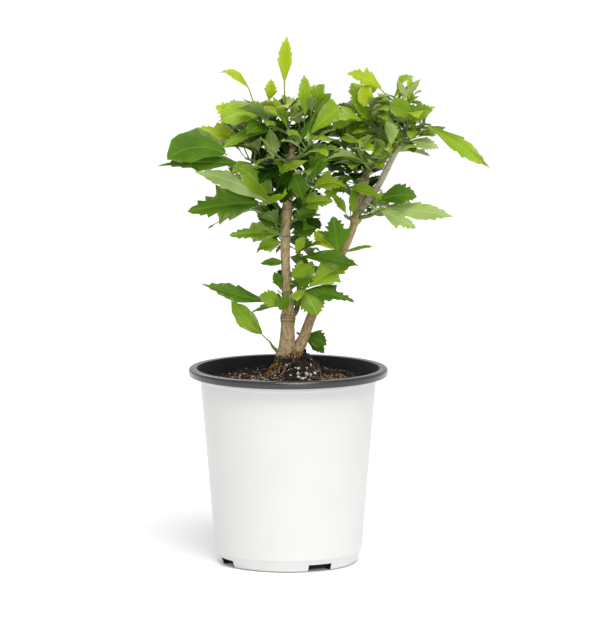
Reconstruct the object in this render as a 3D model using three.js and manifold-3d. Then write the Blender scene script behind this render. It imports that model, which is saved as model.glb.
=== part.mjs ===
// A young rose of sharon (Hibiscus syriacus) in a round nursery pot, in millimetres, +Z up.
// The origin is the centre of the pot's flat underside. The second stem leans to +X, and -Y is the front.
//
// The pot is a black moulded cup inside a thin white wrap, filled with potting mix. Two woody stems rise
// from one root crown. The foliage is a set of masses: in each, one green stem branches into shoots, and
// every shoot carries stalked leaves. The leaves that stand out are aimed at their tips, and the rest follow
// the shoot by the golden angle with a seeded scatter.

import * as THREE from "three";
import { mergeVertices } from "three/addons/utils/BufferGeometryUtils.js";
import Module from "manifold-3d";

const wasm = await Module();
wasm.setup();

const GAP = 0.3; // clearance that neighbouring solids keep
const CUT = 0.4; // how much a limb is thickened to cut its neighbours, as its facets lie inside its round
const APART = 1.6; // how many gaps the leaves of two masses keep
const AXIS_STEPS = 200; // along a limb's axis, to find a height on it
const RAD = Math.PI / 180;
const UP = new THREE.Vector3(0, 0, 1);
const UPRIGHT = 0.05; // the sine of the lean below which a shoot counts as upright

// ---------------------------------------------------------------- driving sizes

const ROUND = 36; // facets round the pot, the wrap and the potting mix

const POT = {
  height: 162,
  rimRadius: 82.5,
  rimDrop: 6.2, // how far the lip hangs below its crown
  lip: 1.5, // thickness of the lip
  wall: 1.3,
  floor: 1.8,
};

const WRAP = {
  thickness: 0.6,
  bottom: 0.6, // the film stops just above the ground
  footHeight: 9.5, // the pot draws in below this height
  footRadius: 56.2,
  footTopRadius: 59.2,
  lowRadius: 60.6,
  highRadius: 72.6,
  collarBottom: 151.5,
  collarRadius: 73.4,
  top: 155.6,
};

// Drain notches round the foot. The first angle is in degrees from -Y.
const NOTCH = { count: 4, firstAngle: 27.5, width: 21, height: 6, inner: 44 };

const SOIL = {
  edge: 150, // level at the wall
  seat: 156, // level of the flat place under the root crown
  mound: 19, // how high the mix is heaped against the stems
  moundX: 9,
  moundRadius: 17,
  lump: 1.6,
  slope: 2.2, // how soon the mix reaches its seat level from the wall
  rings: [9, 17, 26, 37, 52],
};

const KNUCKLE = 0.022; // half the length of a knuckle, as a share of the limb
const FLARE = 0.12; // how far up a limb its root flare fades out, as a share of its length
const FLARE_LOBES = { count: 3, turn: 0.6 }; // of the root flare, and the angle of the first in radians

const MAIN_STEM = {
  path: [
    [-3.8, 0, SOIL.seat + GAP],
    [-3.4, 0, 163],
    [-1.2, 0, 178],
    [-0.5, 0, 196],
    [-0.3, 0, 214],
    [-1.6, 0, 236],
    [-2.5, 0, 262],
    [-1.7, 0, 286],
    [0.8, 0, 316],
    [2.2, 0, 345],
  ],
  radii: [12.5, 9.8, 7.2, 5.5, 4.6, 3.8, 3.7, 4.0, 3.9, 3.7],
  knuckles: [[0.25, 1.3], [0.705, 0.9], [0.96, 0.6]], // share of the length, and how far the bark swells
  flare: 0.22, // how far the root flare departs from round
  rings: 26,
  sides: 10,
};

const RIGHT_STEM = {
  path: [
    [3, 2, 166],
    [12, 2, 185],
    [20, 3, 206],
    [28.5, 4, 222],
    [39, 5, 245],
    [50, 6, 268],
    [57, 6, 290],
    [61, 6, 308],
    [64, 6, 323],
  ],
  radii: [5.4, 4.6, 3.9, 3.7, 3.2, 3.0, 3.1, 3.1, 3.0],
  knuckles: [[0.77, 1.3], [0.97, 0.9]],
  rings: 18,
  sides: 9,
};

const RIGHT_LEADER = {
  path: [[63.5, 6, 320], [68, 5, 331], [71.5, 4, 341], [74, 4, 350]],
  radii: [2.3, 2.1, 1.9, 1.8],
  knuckles: [],
  rings: 5,
  sides: 7,
};

const RIGHT_BOUGH = {
  path: [[57, 6, 289], [65, 3, 300], [74, 0, 313], [85, -2, 335], [91.5, -3, 347]],
  radii: [3.1, 2.9, 2.6, 2.5, 2.2],
  knuckles: [],
  rings: 8,
  sides: 8,
};

const SIDE_STEM = {
  path: [[1, 1, 202], [6.6, 3.2, 209], [8.6, 4.6, 222], [8.4, 5.4, 240], [8, 5.6, 256]],
  radii: [2.4, 2.2, 2.0, 1.8, 1.7],
  knuckles: [],
  rings: 8,
  sides: 7,
};

const LIMBS = {
  main_stem: MAIN_STEM,
  right_stem: RIGHT_STEM,
  right_leader: RIGHT_LEADER,
  right_bough: RIGHT_BOUGH,
  side_stem: SIDE_STEM,
};

const LEAF = {
  stalkRadius: 0.8, // where it meets the blade
  rootRadius: 0.5, // inside the shoot
  thickness: 1.5, // at the midrib, which thins to a sharp margin
  fold: 14, // degrees that each half rises from the midrib
  forward: 0.3, // how far the margin sweeps on towards the tip
};

// Stations down the midrib and the blade's half width at each, as shares of its length.
// A lobed blade draws in at its middle and widens again.
const BLADES = {
  lobed: { along: [0, 0.3, 0.47, 0.68, 1], half: [0.035, 0.32, 0.18, 0.2, 0] },
  plain: { along: [0, 0.36, 0.7, 1], half: [0.035, 0.29, 0.2, 0] },
  small: { along: [0, 0.42, 1], half: [0.035, 0.28, 0] },
};

const BLADE_SIZES = { lobed: 30, plain: 20, ruled: 28 }; // a longer blade has that outline
const GOLDEN = 137.5; // degrees between one leaf of a shoot and the next
const STEM_RADIUS = 2; // of a mass's own green stem
const SHOOT_RADIUS = 1.45;
const TAPER = { root: 1.2, tip: 0.8 }; // of a shoot, against its radius
const BEND = { across: 0.6, up: 0.35 }; // where a shoot turns up, as shares of the way to its end
const LONG_SHOOT = 22; // a longer shoot has one bend more
const STALK = { least: 2, share: 0.2 }; // a stalk measures the least and this share of its blade
const LAST = 0.98; // no leaf grows nearer to a shoot's end than this share

// How the leaves of a shoot change from its foot to its end, and how far they scatter.
const RULE = {
  along: [0.25, 1],
  shorten: 0.5, // the last blade's length against the first's
  rise: [-8, 52],
  length: [0.85, 1.15],
  droop: [15, 50],
  width: [0.9, 1.1],
  stalk: [0.12, 0.32],
  heading: 14,
  lift: 12,
  roll: 35,
};

// ---------------------------------------------------------------- the masses of foliage

// limb and height: the limb that carries the mass, and how high on it. to: the end of the mass's stem.
// reach: how far from the stem's end a leaf that follows the rule may spread.

// A shoot grows from the stem's end, or from where at gives a share of the stem, to its own end. fill leaves
// follow the rule: the first faces turn, in degrees from +X towards +Y, and the lowest measures about long.
const shoot = (to, { at = 0.97, fill, turn = 0, long = 0 }, set = []) => ({ to, at, fill, turn, long, set });

// A leaf that stands out is set by the place of its tip and by the share of the shoot where it grows. It is
// bent down by droop. Its upper face turns from the sky to the front by tilt, as far as its midrib lets it.
const leaf = (tip, along, { droop = 10, tilt = 50, width = 1, stalk } = {}) => {
  return { tip, along, droop, tilt, width, stalk };
};

const MASSES = [
  {
    name: "foliage_top",
    limb: "main_stem",
    height: 345.2,
    to: [1, 2, 356],
    reach: 62,
    shoots: [
      shoot([-3, 3, 388], { fill: 7, turn: 60, long: 32 }, [
        leaf([-1, 1, 437], 1, { tilt: 70, width: 0.6, stalk: 12 }),
        leaf([-13, -6, 388], 0, { width: 0.5 }),
      ]),
      shoot([-25, 0, 373], { fill: 6, turn: 120, long: 34 }, [
        leaf([-57, -4, 408], 1, { droop: 70, tilt: 35, width: 0.6, stalk: 15 }),
        leaf([-59, -6, 385], 0.7, { droop: 25, tilt: 60 }),
      ]),
      shoot([23, -2, 374], { at: 0.6, fill: 7, turn: 80, long: 36 }, [
        leaf([42, -7, 379], 0.2, { droop: 20, tilt: 75, width: 1.1 }),
        leaf([13, 2, 405], 0.5, { droop: 50, tilt: 60, width: 0.6, stalk: 12 }),
        leaf([43, 2, 353], 0, { tilt: 20, width: 0.8 }),
      ]),
    ],
  },
  {
    name: "foliage_left",
    limb: "main_stem",
    height: 325,
    to: [-20, -5, 333],
    reach: 72,
    shoots: [
      shoot([-35, -9, 337], { fill: 4, turn: 250, long: 44 }, [
        leaf([-101, -22, 338], 0.8, { droop: 50, stalk: 4 }),
        leaf([-108, -3, 332], 0.2, { tilt: 20, width: 0.8, stalk: 14 }),
      ]),
      shoot([-33, 4, 350], { at: 0.7, fill: 7, turn: 150, long: 40 }, [
        leaf([-78, 10, 358], 0.9, { droop: 20, width: 0.8 }),
      ]),
    ],
  },
  {
    name: "foliage_left_low",
    limb: "main_stem",
    height: 306,
    to: [-13, -5, 302],
    reach: 76,
    shoots: [
      shoot([-20, -8, 300], { fill: 4, turn: 160, long: 42 }, [
        leaf([-77, -17, 327], 0.4, { droop: 35 }),
        leaf([-83, -10, 296], 1, { tilt: 70 }),
        leaf([-67, 2, 277], 1, { tilt: 30, width: 0.7, stalk: 16 }),
      ]),
    ],
  },
  {
    name: "foliage_middle",
    limb: "main_stem",
    height: 312,
    to: [11, -7, 314],
    reach: 56,
    shoots: [
      shoot([25, -9, 330], { fill: 6, turn: 300, long: 36 }, [
        leaf([53, -16, 315], 0, { droop: 60, width: 0.8 }),
        leaf([29, -5, 348], 0, { tilt: 80, width: 0.85 }),
        leaf([-12, -15, 322], 1, { droop: 25, tilt: 40, width: 0.6 }),
        leaf([74, -12, 333], 1, { tilt: 15, width: 0.7 }),
      ]),
      shoot([20, 8, 338], { at: 0.5, fill: 7, turn: 20, long: 40 }),
    ],
  },
  {
    name: "foliage_crown_back",
    limb: "main_stem",
    height: 336,
    to: [-5, 18, 345],
    reach: 74,
    shoots: [
      shoot([-26, 38, 360], { fill: 8, turn: 120, long: 42 }),
      shoot([10, 44, 366], { fill: 8, turn: 60, long: 42 }),
      shoot([-4, 26, 382], { fill: 6, turn: 200, long: 34 }),
    ],
  },
  {
    name: "foliage_front",
    limb: "main_stem",
    height: 327,
    to: [0, -16, 335],
    reach: 58,
    shoots: [
      shoot([-14, -36, 347], { fill: 6, turn: 240, long: 38 }),
      shoot([17, -40, 351], { fill: 6, turn: 300, long: 38 }),
    ],
  },
  {
    name: "foliage_left_back",
    limb: "main_stem",
    height: 318,
    to: [-16, 18, 324],
    reach: 70,
    shoots: [
      shoot([-28, 30, 332], { fill: 7, turn: 140, long: 48 }),
      shoot([-34, 12, 322], { at: 0.7, fill: 5, turn: 200, long: 40 }),
    ],
  },
  {
    name: "foliage_right_top",
    limb: "right_leader",
    height: 350.6,
    to: [74, 3, 360],
    reach: 58,
    shoots: [
      shoot([60, 0, 376], { fill: 8, turn: 150, long: 34 }, [
        leaf([53, -8, 382], 0, { droop: 20, width: 0.8 }),
        leaf([35, -4, 359], 0.5, { droop: 45, tilt: 40, width: 0.7 }),
      ]),
      shoot([86, 0, 384], { fill: 6, turn: 200, long: 34 }, [
        leaf([48, -4, 406], 1, { droop: 40, width: 0.9, stalk: 14 }),
        leaf([91, -8, 344], 0, { tilt: 40, width: 0.7 }),
      ]),
    ],
  },
  {
    name: "foliage_right_inner",
    limb: "right_stem",
    height: 315,
    to: [52, 3, 332],
    reach: 52,
    shoots: [
      shoot([44, 2, 350], { fill: 7, turn: 170, long: 38 }),
      shoot([56, -8, 342], { at: 0.6, fill: 5, turn: 250, long: 36 }, [
        leaf([53, -9, 291], 0, { tilt: 60, width: 0.8, stalk: 12 }),
      ]),
    ],
  },
  {
    name: "foliage_right_outer",
    limb: "right_bough",
    height: 347.6,
    to: [97, -3, 358],
    reach: 50,
    shoots: [
      shoot([98, -4, 384], { fill: 5, turn: 300, long: 26 }, [
        leaf([90, -6, 401], 0.9, { width: 0.5 }),
        leaf([109, -6, 402], 0.9, { width: 0.5 }),
      ]),
      shoot([112, -5, 366], { fill: 4, turn: 90, long: 26 }, [
        leaf([166, -10, 329], 1, { width: 0.5, stalk: 4 }),
        leaf([122, -6, 379], 0, { droop: 80 }),
      ]),
      shoot([103, -8, 354], { at: 0.4, fill: 3, turn: 200, long: 26 }, [
        leaf([120, -10, 361], 0, { tilt: 30, width: 0.6 }),
        leaf([124, -10, 345], 0, { droop: 25, width: 0.8 }),
      ]),
    ],
  },
  {
    name: "foliage_right_back",
    limb: "right_stem",
    height: 309,
    to: [64, 22, 326],
    reach: 60,
    shoots: [
      shoot([54, 36, 348], { fill: 8, turn: 120, long: 40 }),
      shoot([84, 32, 350], { fill: 8, turn: 60, long: 40 }),
    ],
  },
  {
    name: "foliage_right_front",
    limb: "right_stem",
    height: 316.5,
    to: [67, -10, 329],
    reach: 54,
    shoots: [
      shoot([58, -32, 345], { fill: 6, turn: 250, long: 36 }),
      shoot([84, -34, 343], { fill: 6, turn: 310, long: 36 }),
    ],
  },
  {
    name: "foliage_right_side",
    limb: "right_stem",
    height: 286,
    to: [68, -4, 289],
    reach: 60,
    shoots: [
      shoot([77, -6, 295], { fill: 3, turn: 280, long: 28 }, [
        leaf([106, -10, 305], 1, { droop: 35, tilt: 60 }),
        leaf([136, -14, 289], 1, { droop: 15, tilt: 30, width: 0.6 }),
        leaf([105, -17, 280], 0.5, { width: 0.75 }),
      ]),
    ],
  },
  {
    name: "foliage_right_mid",
    limb: "right_stem",
    height: 285.5,
    to: [50, 2, 286],
    reach: 40,
    shoots: [shoot([46, 1, 289], { fill: 3, turn: 230, long: 24 }, [leaf([36, -2, 307], 0, { width: 0.7 })])],
  },
  {
    name: "foliage_right_mid_back",
    limb: "right_stem",
    height: 278,
    to: [55, 17, 282],
    reach: 52,
    shoots: [shoot([57, 26, 290], { fill: 6, turn: 90, long: 38 })],
  },
  {
    name: "foliage_right_low",
    limb: "right_stem",
    height: 251,
    to: [42, -2, 253],
    reach: 34,
    shoots: [
      shoot([41, -5, 257], { fill: 0 }, [
        leaf([37, -9, 289], 1, { tilt: 70, width: 1.1 }),
        leaf([70, -2, 263], 1, { tilt: 20, width: 0.6 }),
        leaf([21, 2, 275], 1, { tilt: 70, width: 1.1 }),
      ]),
    ],
  },
  {
    name: "foliage_mid_left",
    limb: "main_stem",
    height: 272,
    to: [-8, -3, 274],
    reach: 44,
    shoots: [
      shoot([-10, -4, 281], { fill: 3, turn: 260, long: 28 }, [
        leaf([-49, -8, 273], 0, { width: 0.8 }),
        leaf([-27, 0, 288], 0.5, { tilt: 60 }),
        leaf([-25, -9, 261], 0, { tilt: 60 }),
      ]),
    ],
  },
  {
    name: "foliage_mid_right",
    limb: "main_stem",
    height: 283,
    to: [6, -4, 284],
    reach: 40,
    shoots: [
      shoot([9, -5, 290], { fill: 3, turn: 300, long: 26 }, [
        leaf([25, -9, 295], 0, { tilt: 65, width: 1.1 }),
      ]),
    ],
  },
  {
    name: "foliage_mid_back",
    limb: "main_stem",
    height: 262,
    to: [-4, 11, 266],
    reach: 46,
    shoots: [shoot([-6, 18, 273], { fill: 7, turn: 110, long: 36 })],
  },
  {
    name: "foliage_side_tip",
    limb: "side_stem",
    height: 256.6,
    to: [10, 4, 263],
    reach: 44,
    shoots: [
      shoot([12, 3, 268], { fill: 3, turn: 60, long: 28 }, [
        leaf([59, -2, 248], 0, { width: 0.6, stalk: 5 }),
      ]),
    ],
  },
  {
    name: "foliage_side_low",
    limb: "side_stem",
    height: 226,
    to: [12, -2, 227],
    reach: 46,
    shoots: [
      shoot([16, -4, 231], { fill: 3, turn: 300, long: 24 }, [
        leaf([56, -8, 253], 0.5, { droop: 15, tilt: 75, width: 1.15, stalk: 5 }),
        leaf([51, -12, 222], 0, { droop: 15, tilt: 35, width: 0.6 }),
        leaf([20, 0, 249], 0, { tilt: 60 }),
      ]),
    ],
  },
  {
    name: "foliage_low_front",
    limb: "main_stem",
    height: 222,
    to: [-3, -6, 223],
    reach: 30,
    shoots: [
      shoot([-4, -7, 226], { fill: 0 }, [
        leaf([-11, -10, 244], 0.4, { tilt: 70 }),
        leaf([-5, -10, 212], 1, { tilt: 60 }),
      ]),
    ],
  },
  {
    name: "foliage_low_left",
    limb: "main_stem",
    height: 215,
    to: [-8, -1, 216],
    reach: 64,
    shoots: [
      shoot([-12, -2, 218], { fill: 0 }, [
        leaf([-73, -6, 233], 0.1, { droop: -15, tilt: 30, width: 0.55 }),
        leaf([-22, -8, 218], 0, { droop: 20, tilt: 60 }),
      ]),
    ],
  },
  {
    name: "foliage_low_back",
    limb: "main_stem",
    height: 211,
    to: [-2, 11, 214],
    reach: 40,
    shoots: [shoot([-3, 16, 219], { fill: 5, turn: 80, long: 32 })],
  },
  {
    name: "foliage_foot_left",
    limb: "main_stem",
    height: 172,
    to: [-11, -3, 178],
    reach: 60,
    shoots: [
      shoot([-15, -4, 184], { fill: 0 }, [
        leaf([-47, -8, 219], 1, { droop: -10, tilt: 40, width: 0.9 }),
      ]),
    ],
  },
  {
    name: "foliage_foot_right",
    limb: "right_stem",
    height: 183,
    to: [13, 11, 187],
    reach: 34,
    shoots: [shoot([15, 14, 189], { fill: 0 }, [leaf([32, 11, 179], 0, { droop: 15 })])],
  },
];

const COLOURS = {
  pot: [0x1c1d1f, 0.45],
  pot_wrap: [0xf1f1ee, 0.5],
  potting_mix: [0x2a1d14, 0.95],
  bark: [0xa98a66, 0.8],
  grey_bark: [0x95917c, 0.75],
  green_bark: [0x59613a, 0.7],
  foliage: [0x3f7a1d, 0.5],
  young_foliage: [0x7fae22, 0.5],
};

// ---------------------------------------------------------------- numbers that repeat from run to run

// mulberry32: the same stream of numbers from 0 to 1 for the same seed.
function randomFrom(seed) {
  let state = seed >>> 0;
  return () => {
    state = (state + 0x6d2b79f5) >>> 0;
    let t = Math.imul(state ^ (state >>> 15), state | 1);
    t = (t + Math.imul(t ^ (t >>> 7), t | 61)) ^ t;
    return ((t ^ (t >>> 14)) >>> 0) / 4294967296;
  };
}

const mix = (a, b, share) => a + (b - a) * share;

// ---------------------------------------------------------------- solids

// A closed mesh from shared vertices and triangles that may collapse, as at a pole.
function solidFrom(vertices, triangles) {
  const kept = triangles.filter(([a, b, c]) => a !== b && b !== c && a !== c);
  const mesh = (faces) =>
    new wasm.Manifold(
      new wasm.Mesh({
        numProp: 3,
        vertProperties: new Float32Array(vertices.flat()),
        triVerts: new Uint32Array(faces.flat()),
      }),
    );
  const made = mesh(kept);
  return made.volume() > 0 ? made : mesh(kept.map(([a, b, c]) => [a, c, b]));
}

// A three.js geometry as a solid.
function solidOf(geometry) {
  const bare = geometry.clone().deleteAttribute("normal").deleteAttribute("uv");
  const merged = mergeVertices(bare, 1e-4);
  const at = merged.getAttribute("position");
  const vertices = Array.from({ length: at.count }, (_, i) => [at.getX(i), at.getY(i), at.getZ(i)]);
  const index = Array.from(merged.index.array);
  const triangles = Array.from({ length: index.length / 3 }, (_, i) => index.slice(3 * i, 3 * i + 3));
  return solidFrom(vertices, triangles);
}

// The triangles of the largest connected skin, so that a pocket closed off between stalks is left filled.
function largestSkin(triangles, vertexCount) {
  const link = Array.from({ length: vertexCount }, (_, i) => i);
  const headOf = (vertex) => {
    while (link[vertex] !== vertex) vertex = link[vertex] = link[link[vertex]];
    return vertex;
  };
  const skins = new Map();
  for (let i = 0; i < triangles.length; i += 3) {
    link[headOf(triangles[i + 1])] = headOf(triangles[i]);
    link[headOf(triangles[i + 2])] = headOf(triangles[i]);
  }
  for (let i = 0; i < triangles.length; i += 3) {
    const head = headOf(triangles[i]);
    skins.set(head, [...(skins.get(head) ?? []), triangles[i], triangles[i + 1], triangles[i + 2]]);
  }
  return [...skins.values()].reduce((a, b) => (b.length > a.length ? b : a));
}

function meshOf(solid, name, finish) {
  const made = solid.getMesh();
  const triangles = largestSkin(Array.from(made.triVerts), made.vertProperties.length / 3);
  const geometry = new THREE.BufferGeometry()
    .setAttribute("position", new THREE.BufferAttribute(new Float32Array(made.vertProperties), 3))
    .setIndex(new THREE.BufferAttribute(new Uint32Array(triangles), 1));
  geometry.computeVertexNormals();
  const [color, roughness] = COLOURS[finish];
  const mesh = new THREE.Mesh(geometry, new THREE.MeshStandardMaterial({ color, roughness, metalness: 0 }));
  mesh.name = name;
  return mesh;
}

// A profile of [radius, height] pairs turned about the Z axis.
function turned(profile) {
  const points = profile.map(([r, z]) => new THREE.Vector2(r, z));
  return solidOf(new THREE.LatheGeometry(points, ROUND).rotateX(Math.PI / 2));
}

// ---------------------------------------------------------------- the pot

function wrapOuter() {
  return [
    [WRAP.footRadius, WRAP.bottom],
    [WRAP.footTopRadius, WRAP.footHeight],
    [WRAP.lowRadius, WRAP.footHeight + 0.8],
    [WRAP.highRadius, WRAP.collarBottom],
    [WRAP.collarRadius, WRAP.collarBottom + 0.8],
    [WRAP.collarRadius + 0.3, WRAP.top],
  ];
}

const inset = (profile, depth) => profile.map(([r, z]) => [r - depth, z]);

// The cup's wall, a clearance inside the wrap.
function wallProfile(depth, bottom) {
  const inside = WRAP.thickness + GAP + depth;
  return inset(
    [
      [WRAP.footRadius - 0.3, bottom],
      [WRAP.lowRadius - 0.6, WRAP.footHeight + 3],
      [WRAP.highRadius, WRAP.collarBottom],
    ],
    inside,
  );
}

function potProfile() {
  const { height, rimRadius, rimDrop, lip, floor } = POT;
  const crown = height - 0.4;
  return [
    [0, 0],
    ...wallProfile(0, 0),
    [WRAP.collarRadius - 0.7, WRAP.top + GAP],
    [rimRadius - lip - 3.4, height - 2.4],
    [rimRadius - lip, height - rimDrop + 0.6],
    [rimRadius - 0.4, height - rimDrop],
    [rimRadius, height - rimDrop + 1.2],
    [rimRadius - 1.2, height - 1.4],
    [rimRadius - 3.6, height],
    [rimRadius - 6.2, crown],
    [rimRadius - 7.8, height - 3],
    ...wallProfile(POT.wall, floor).reverse(),
    [0, floor],
  ];
}

// The radius of the pot's inner wall at a height below the collar.
function innerRadius(z) {
  const wall = wallProfile(POT.wall, POT.floor);
  const above = wall.findIndex(([, height]) => height >= z);
  const [[r0, z0], [r1, z1]] = [wall[above - 1], wall[above]];
  return mix(r0, r1, (z - z0) / (z1 - z0));
}

function drainNotches() {
  const depth = POT.rimRadius - NOTCH.inner;
  const turns = Array.from({ length: NOTCH.count }, (_, i) => NOTCH.firstAngle + (i * 360) / NOTCH.count);
  return turns.map((angle) =>
    solidOf(
      new THREE.BoxGeometry(NOTCH.width, depth, 2 * NOTCH.height)
        .translate(0, -NOTCH.inner - depth / 2, 0)
        .rotateZ(angle * RAD),
    ),
  );
}

function pot() {
  return drainNotches().reduce((cup, notch) => cup.subtract(notch), turned(potProfile()));
}

function wrap() {
  const outside = wrapOuter();
  const inside = inset(outside, WRAP.thickness).reverse();
  const film = turned([...outside, ...inside, outside[0]]);
  return drainNotches().reduce((sleeve, notch) => sleeve.subtract(notch), film);
}

// ---------------------------------------------------------------- the potting mix

// Height of the mix at a point: level round the wall, heaped against the stems, and lumpy.
function soilHeight(x, y, random) {
  const fromWall = 1 - Math.hypot(x, y) / innerRadius(SOIL.edge);
  const fromMound = Math.hypot(x - SOIL.moundX, y) / SOIL.moundRadius;
  const base = mix(SOIL.edge, SOIL.seat, Math.min(1, SOIL.slope * fromWall));
  return base + SOIL.mound * Math.exp(-fromMound * fromMound) + SOIL.lump * (random() - 0.5) * 2;
}

function pottingMix(stems) {
  const random = randomFrom(41);
  const foot = POT.floor + GAP;
  const walls = [foot, WRAP.footHeight + 3, SOIL.edge].map((z) => [innerRadius(z) - GAP, z]);
  const rings = [...walls, ...[...SOIL.rings].reverse().map((r) => [r, null])];
  const vertices = [[0, 0, foot]];
  for (const [radius, level] of rings) {
    for (let i = 0; i < ROUND; i++) {
      const angle = (i * 2 * Math.PI) / ROUND;
      const [x, y] = [radius * Math.sin(angle), -radius * Math.cos(angle)];
      vertices.push([x, y, level ?? soilHeight(x, y, random)]);
    }
  }
  vertices.push([0, 0, soilHeight(0, 0, random)]);
  const top = vertices.length - 1;
  const triangles = [];
  for (let i = 0; i < ROUND; i++) {
    const next = (i + 1) % ROUND;
    triangles.push([0, 1 + next, 1 + i]);
    for (let ring = 0; ring + 1 < rings.length; ring++) {
      const [low, high] = [1 + ring * ROUND, 1 + (ring + 1) * ROUND];
      triangles.push([low + i, low + next, high + next], [low + i, high + next, high + i]);
    }
    const last = 1 + (rings.length - 1) * ROUND;
    triangles.push([last + i, last + next, top]);
  }
  return stems.reduce((soil, stem) => soil.subtract(stem), solidFrom(vertices, triangles));
}

// ---------------------------------------------------------------- limbs

// A closed round limb along a smooth path. extra thickens it all over, to cut its neighbours clear of it.
function limb({ path, radii, knuckles, flare = 0, rings, sides }, extra = 0) {
  const curve = new THREE.CatmullRomCurve3(path.map((p) => new THREE.Vector3(...p)));
  const frames = curve.computeFrenetFrames(rings);
  const vertices = [];
  for (let ring = 0; ring <= rings; ring++) {
    const share = ring / rings;
    const stretch = curve.getUtoTmapping(share) * (radii.length - 1);
    const below = Math.min(Math.floor(stretch), radii.length - 2);
    const swell = knuckles.reduce((sum, [at, by]) => sum + by * Math.exp(-(((share - at) / KNUCKLE) ** 2)), 0);
    const radius = mix(radii[below], radii[below + 1], stretch - below) + swell + extra;
    const centre = curve.getPointAt(share);
    if (extra && ring === 0) centre.addScaledVector(frames.tangents[0], -extra);
    if (extra && ring === rings) centre.addScaledVector(frames.tangents[rings], extra);
    const uneven = flare * Math.max(0, 1 - share / FLARE);
    for (let i = 0; i < sides; i++) {
      const angle = (i * 2 * Math.PI) / sides;
      const r = radius * (1 + uneven * Math.cos(FLARE_LOBES.count * angle + FLARE_LOBES.turn));
      const out = frames.normals[ring].clone().multiplyScalar(r * Math.cos(angle));
      out.addScaledVector(frames.binormals[ring], r * Math.sin(angle));
      vertices.push(centre.clone().add(out).toArray());
    }
  }
  return tube(vertices, rings, sides);
}

// Joins rings of vertices into a closed tube with flat ends.
function tube(vertices, rings, sides) {
  const last = rings * sides;
  const triangles = [];
  for (let i = 1; i + 1 < sides; i++) triangles.push([0, i + 1, i], [last, last + i, last + i + 1]);
  for (let i = 0; i < sides; i++) {
    const next = (i + 1) % sides;
    for (let ring = 0; ring < rings; ring++) {
      const [low, high] = [ring * sides, (ring + 1) * sides];
      triangles.push([low + i, low + next, high + next], [low + i, high + next, high + i]);
    }
  }
  return solidFrom(vertices, triangles);
}

// ---------------------------------------------------------------- leaves

function direction(heading, rise) {
  const flat = Math.cos(rise * RAD);
  const [x, y] = [flat * Math.cos(heading * RAD), flat * Math.sin(heading * RAD)];
  return new THREE.Vector3(x, y, Math.sin(rise * RAD));
}

// A green shoot: a slim three-sided prism that tapers from root to tip.
function prism(points, rootRadius, tipRadius) {
  const rings = points.length - 1;
  const vertices = points.flatMap((point, ring) => {
    const along = points[Math.min(ring + 1, rings)].clone().sub(points[Math.max(ring - 1, 0)]).normalize();
    const aside = new THREE.Vector3().crossVectors(along, UP);
    if (aside.length() < UPRIGHT) aside.set(1, 0, 0);
    aside.normalize();
    const above = new THREE.Vector3().crossVectors(aside, along);
    const radius = mix(rootRadius, tipRadius, ring / rings);
    return [90, 210, 330].map((angle) =>
      point
        .clone()
        .addScaledVector(aside, radius * Math.cos(angle * RAD))
        .addScaledVector(above, radius * Math.sin(angle * RAD))
        .toArray(),
    );
  });
  return tube(vertices, rings, 3);
}

// The midrib leaves its stalk at rise + droop / 2 and bends down to rise - droop / 2 at the tip.
const slopeAt = (leaf, share) => leaf.rise + leaf.droop * (0.5 - share);

function midrib(start, leaf) {
  const { along } = BLADES[leaf.kind];
  const points = [start.clone()];
  for (let i = 1; i < along.length; i++) {
    const way = direction(leaf.heading, slopeAt(leaf, (along[i - 1] + along[i]) / 2));
    points.push(points[i - 1].clone().addScaledVector(way, leaf.length * (along[i] - along[i - 1])));
  }
  return points;
}

// Four corners round a point of the midrib: above it, to one side, below it and to the other side. The face
// turns about the midrib by roll.
function section(point, leaf, slope, half, thick, lift) {
  const along = direction(leaf.heading, slope);
  const normal = direction(leaf.heading, slope + 90).applyAxisAngle(along, leaf.roll * RAD);
  const side = new THREE.Vector3().crossVectors(along, normal);
  const corner = (across, above, ahead) => {
    const at = point.clone().addScaledVector(side, across).addScaledVector(normal, above);
    return at.addScaledVector(along, ahead).toArray();
  };
  const out = half * Math.cos(lift * RAD);
  const up = half * Math.sin(lift * RAD);
  const ahead = lift ? half * LEAF.forward : 0;
  return [corner(0, thick, 0), corner(-out, up, ahead), corner(0, -thick, 0), corner(out, up, ahead)];
}

// A leaf as one closed loft from the shoot's axis: a stalk, then a blade that is thickest at its midrib and
// sharp at its margin. guard thickens it for the test of its space, and bare leaves off the stalk.
function leafSolid(root, leaf, guard = 0, bare = false) {
  const slope = slopeAt(leaf, 0);
  const start = root.clone().addScaledVector(direction(leaf.heading, slope), leaf.stalk);
  const points = midrib(start, leaf);
  const stem = LEAF.stalkRadius + guard;
  const rootSize = LEAF.rootRadius + guard;
  const rows = bare ? [] : [section(root, leaf, slope, rootSize, rootSize, 0)];
  rows.push(section(start, leaf, slope, stem, stem, 0));
  const { along, half } = BLADES[leaf.kind];
  for (let i = 1; i + 1 < points.length; i++) {
    const across = half[i] * leaf.length * leaf.width + 3 * guard;
    const thick = (LEAF.thickness * mix(1, 0.6, along[i])) / 2 + guard;
    rows.push(section(points[i], leaf, slopeAt(leaf, along[i]), across, thick, LEAF.fold));
  }
  const tip = points.at(-1).addScaledVector(direction(leaf.heading, slopeAt(leaf, 1)), 2 * guard);
  const vertices = [...rows.flat(), tip.toArray()];
  const at = (row, corner) => (row === rows.length ? vertices.length - 1 : 4 * row + corner);
  const triangles = [[at(0, 0), at(0, 1), at(0, 2)], [at(0, 0), at(0, 2), at(0, 3)]];
  for (let row = 0; row < rows.length; row++) {
    for (let corner = 0; corner < 4; corner++) {
      const next = (corner + 1) % 4;
      triangles.push([at(row, corner), at(row + 1, corner), at(row + 1, next)]);
      triangles.push([at(row, corner), at(row + 1, next), at(row, next)]);
    }
  }
  return solidFrom(vertices, triangles);
}

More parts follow.
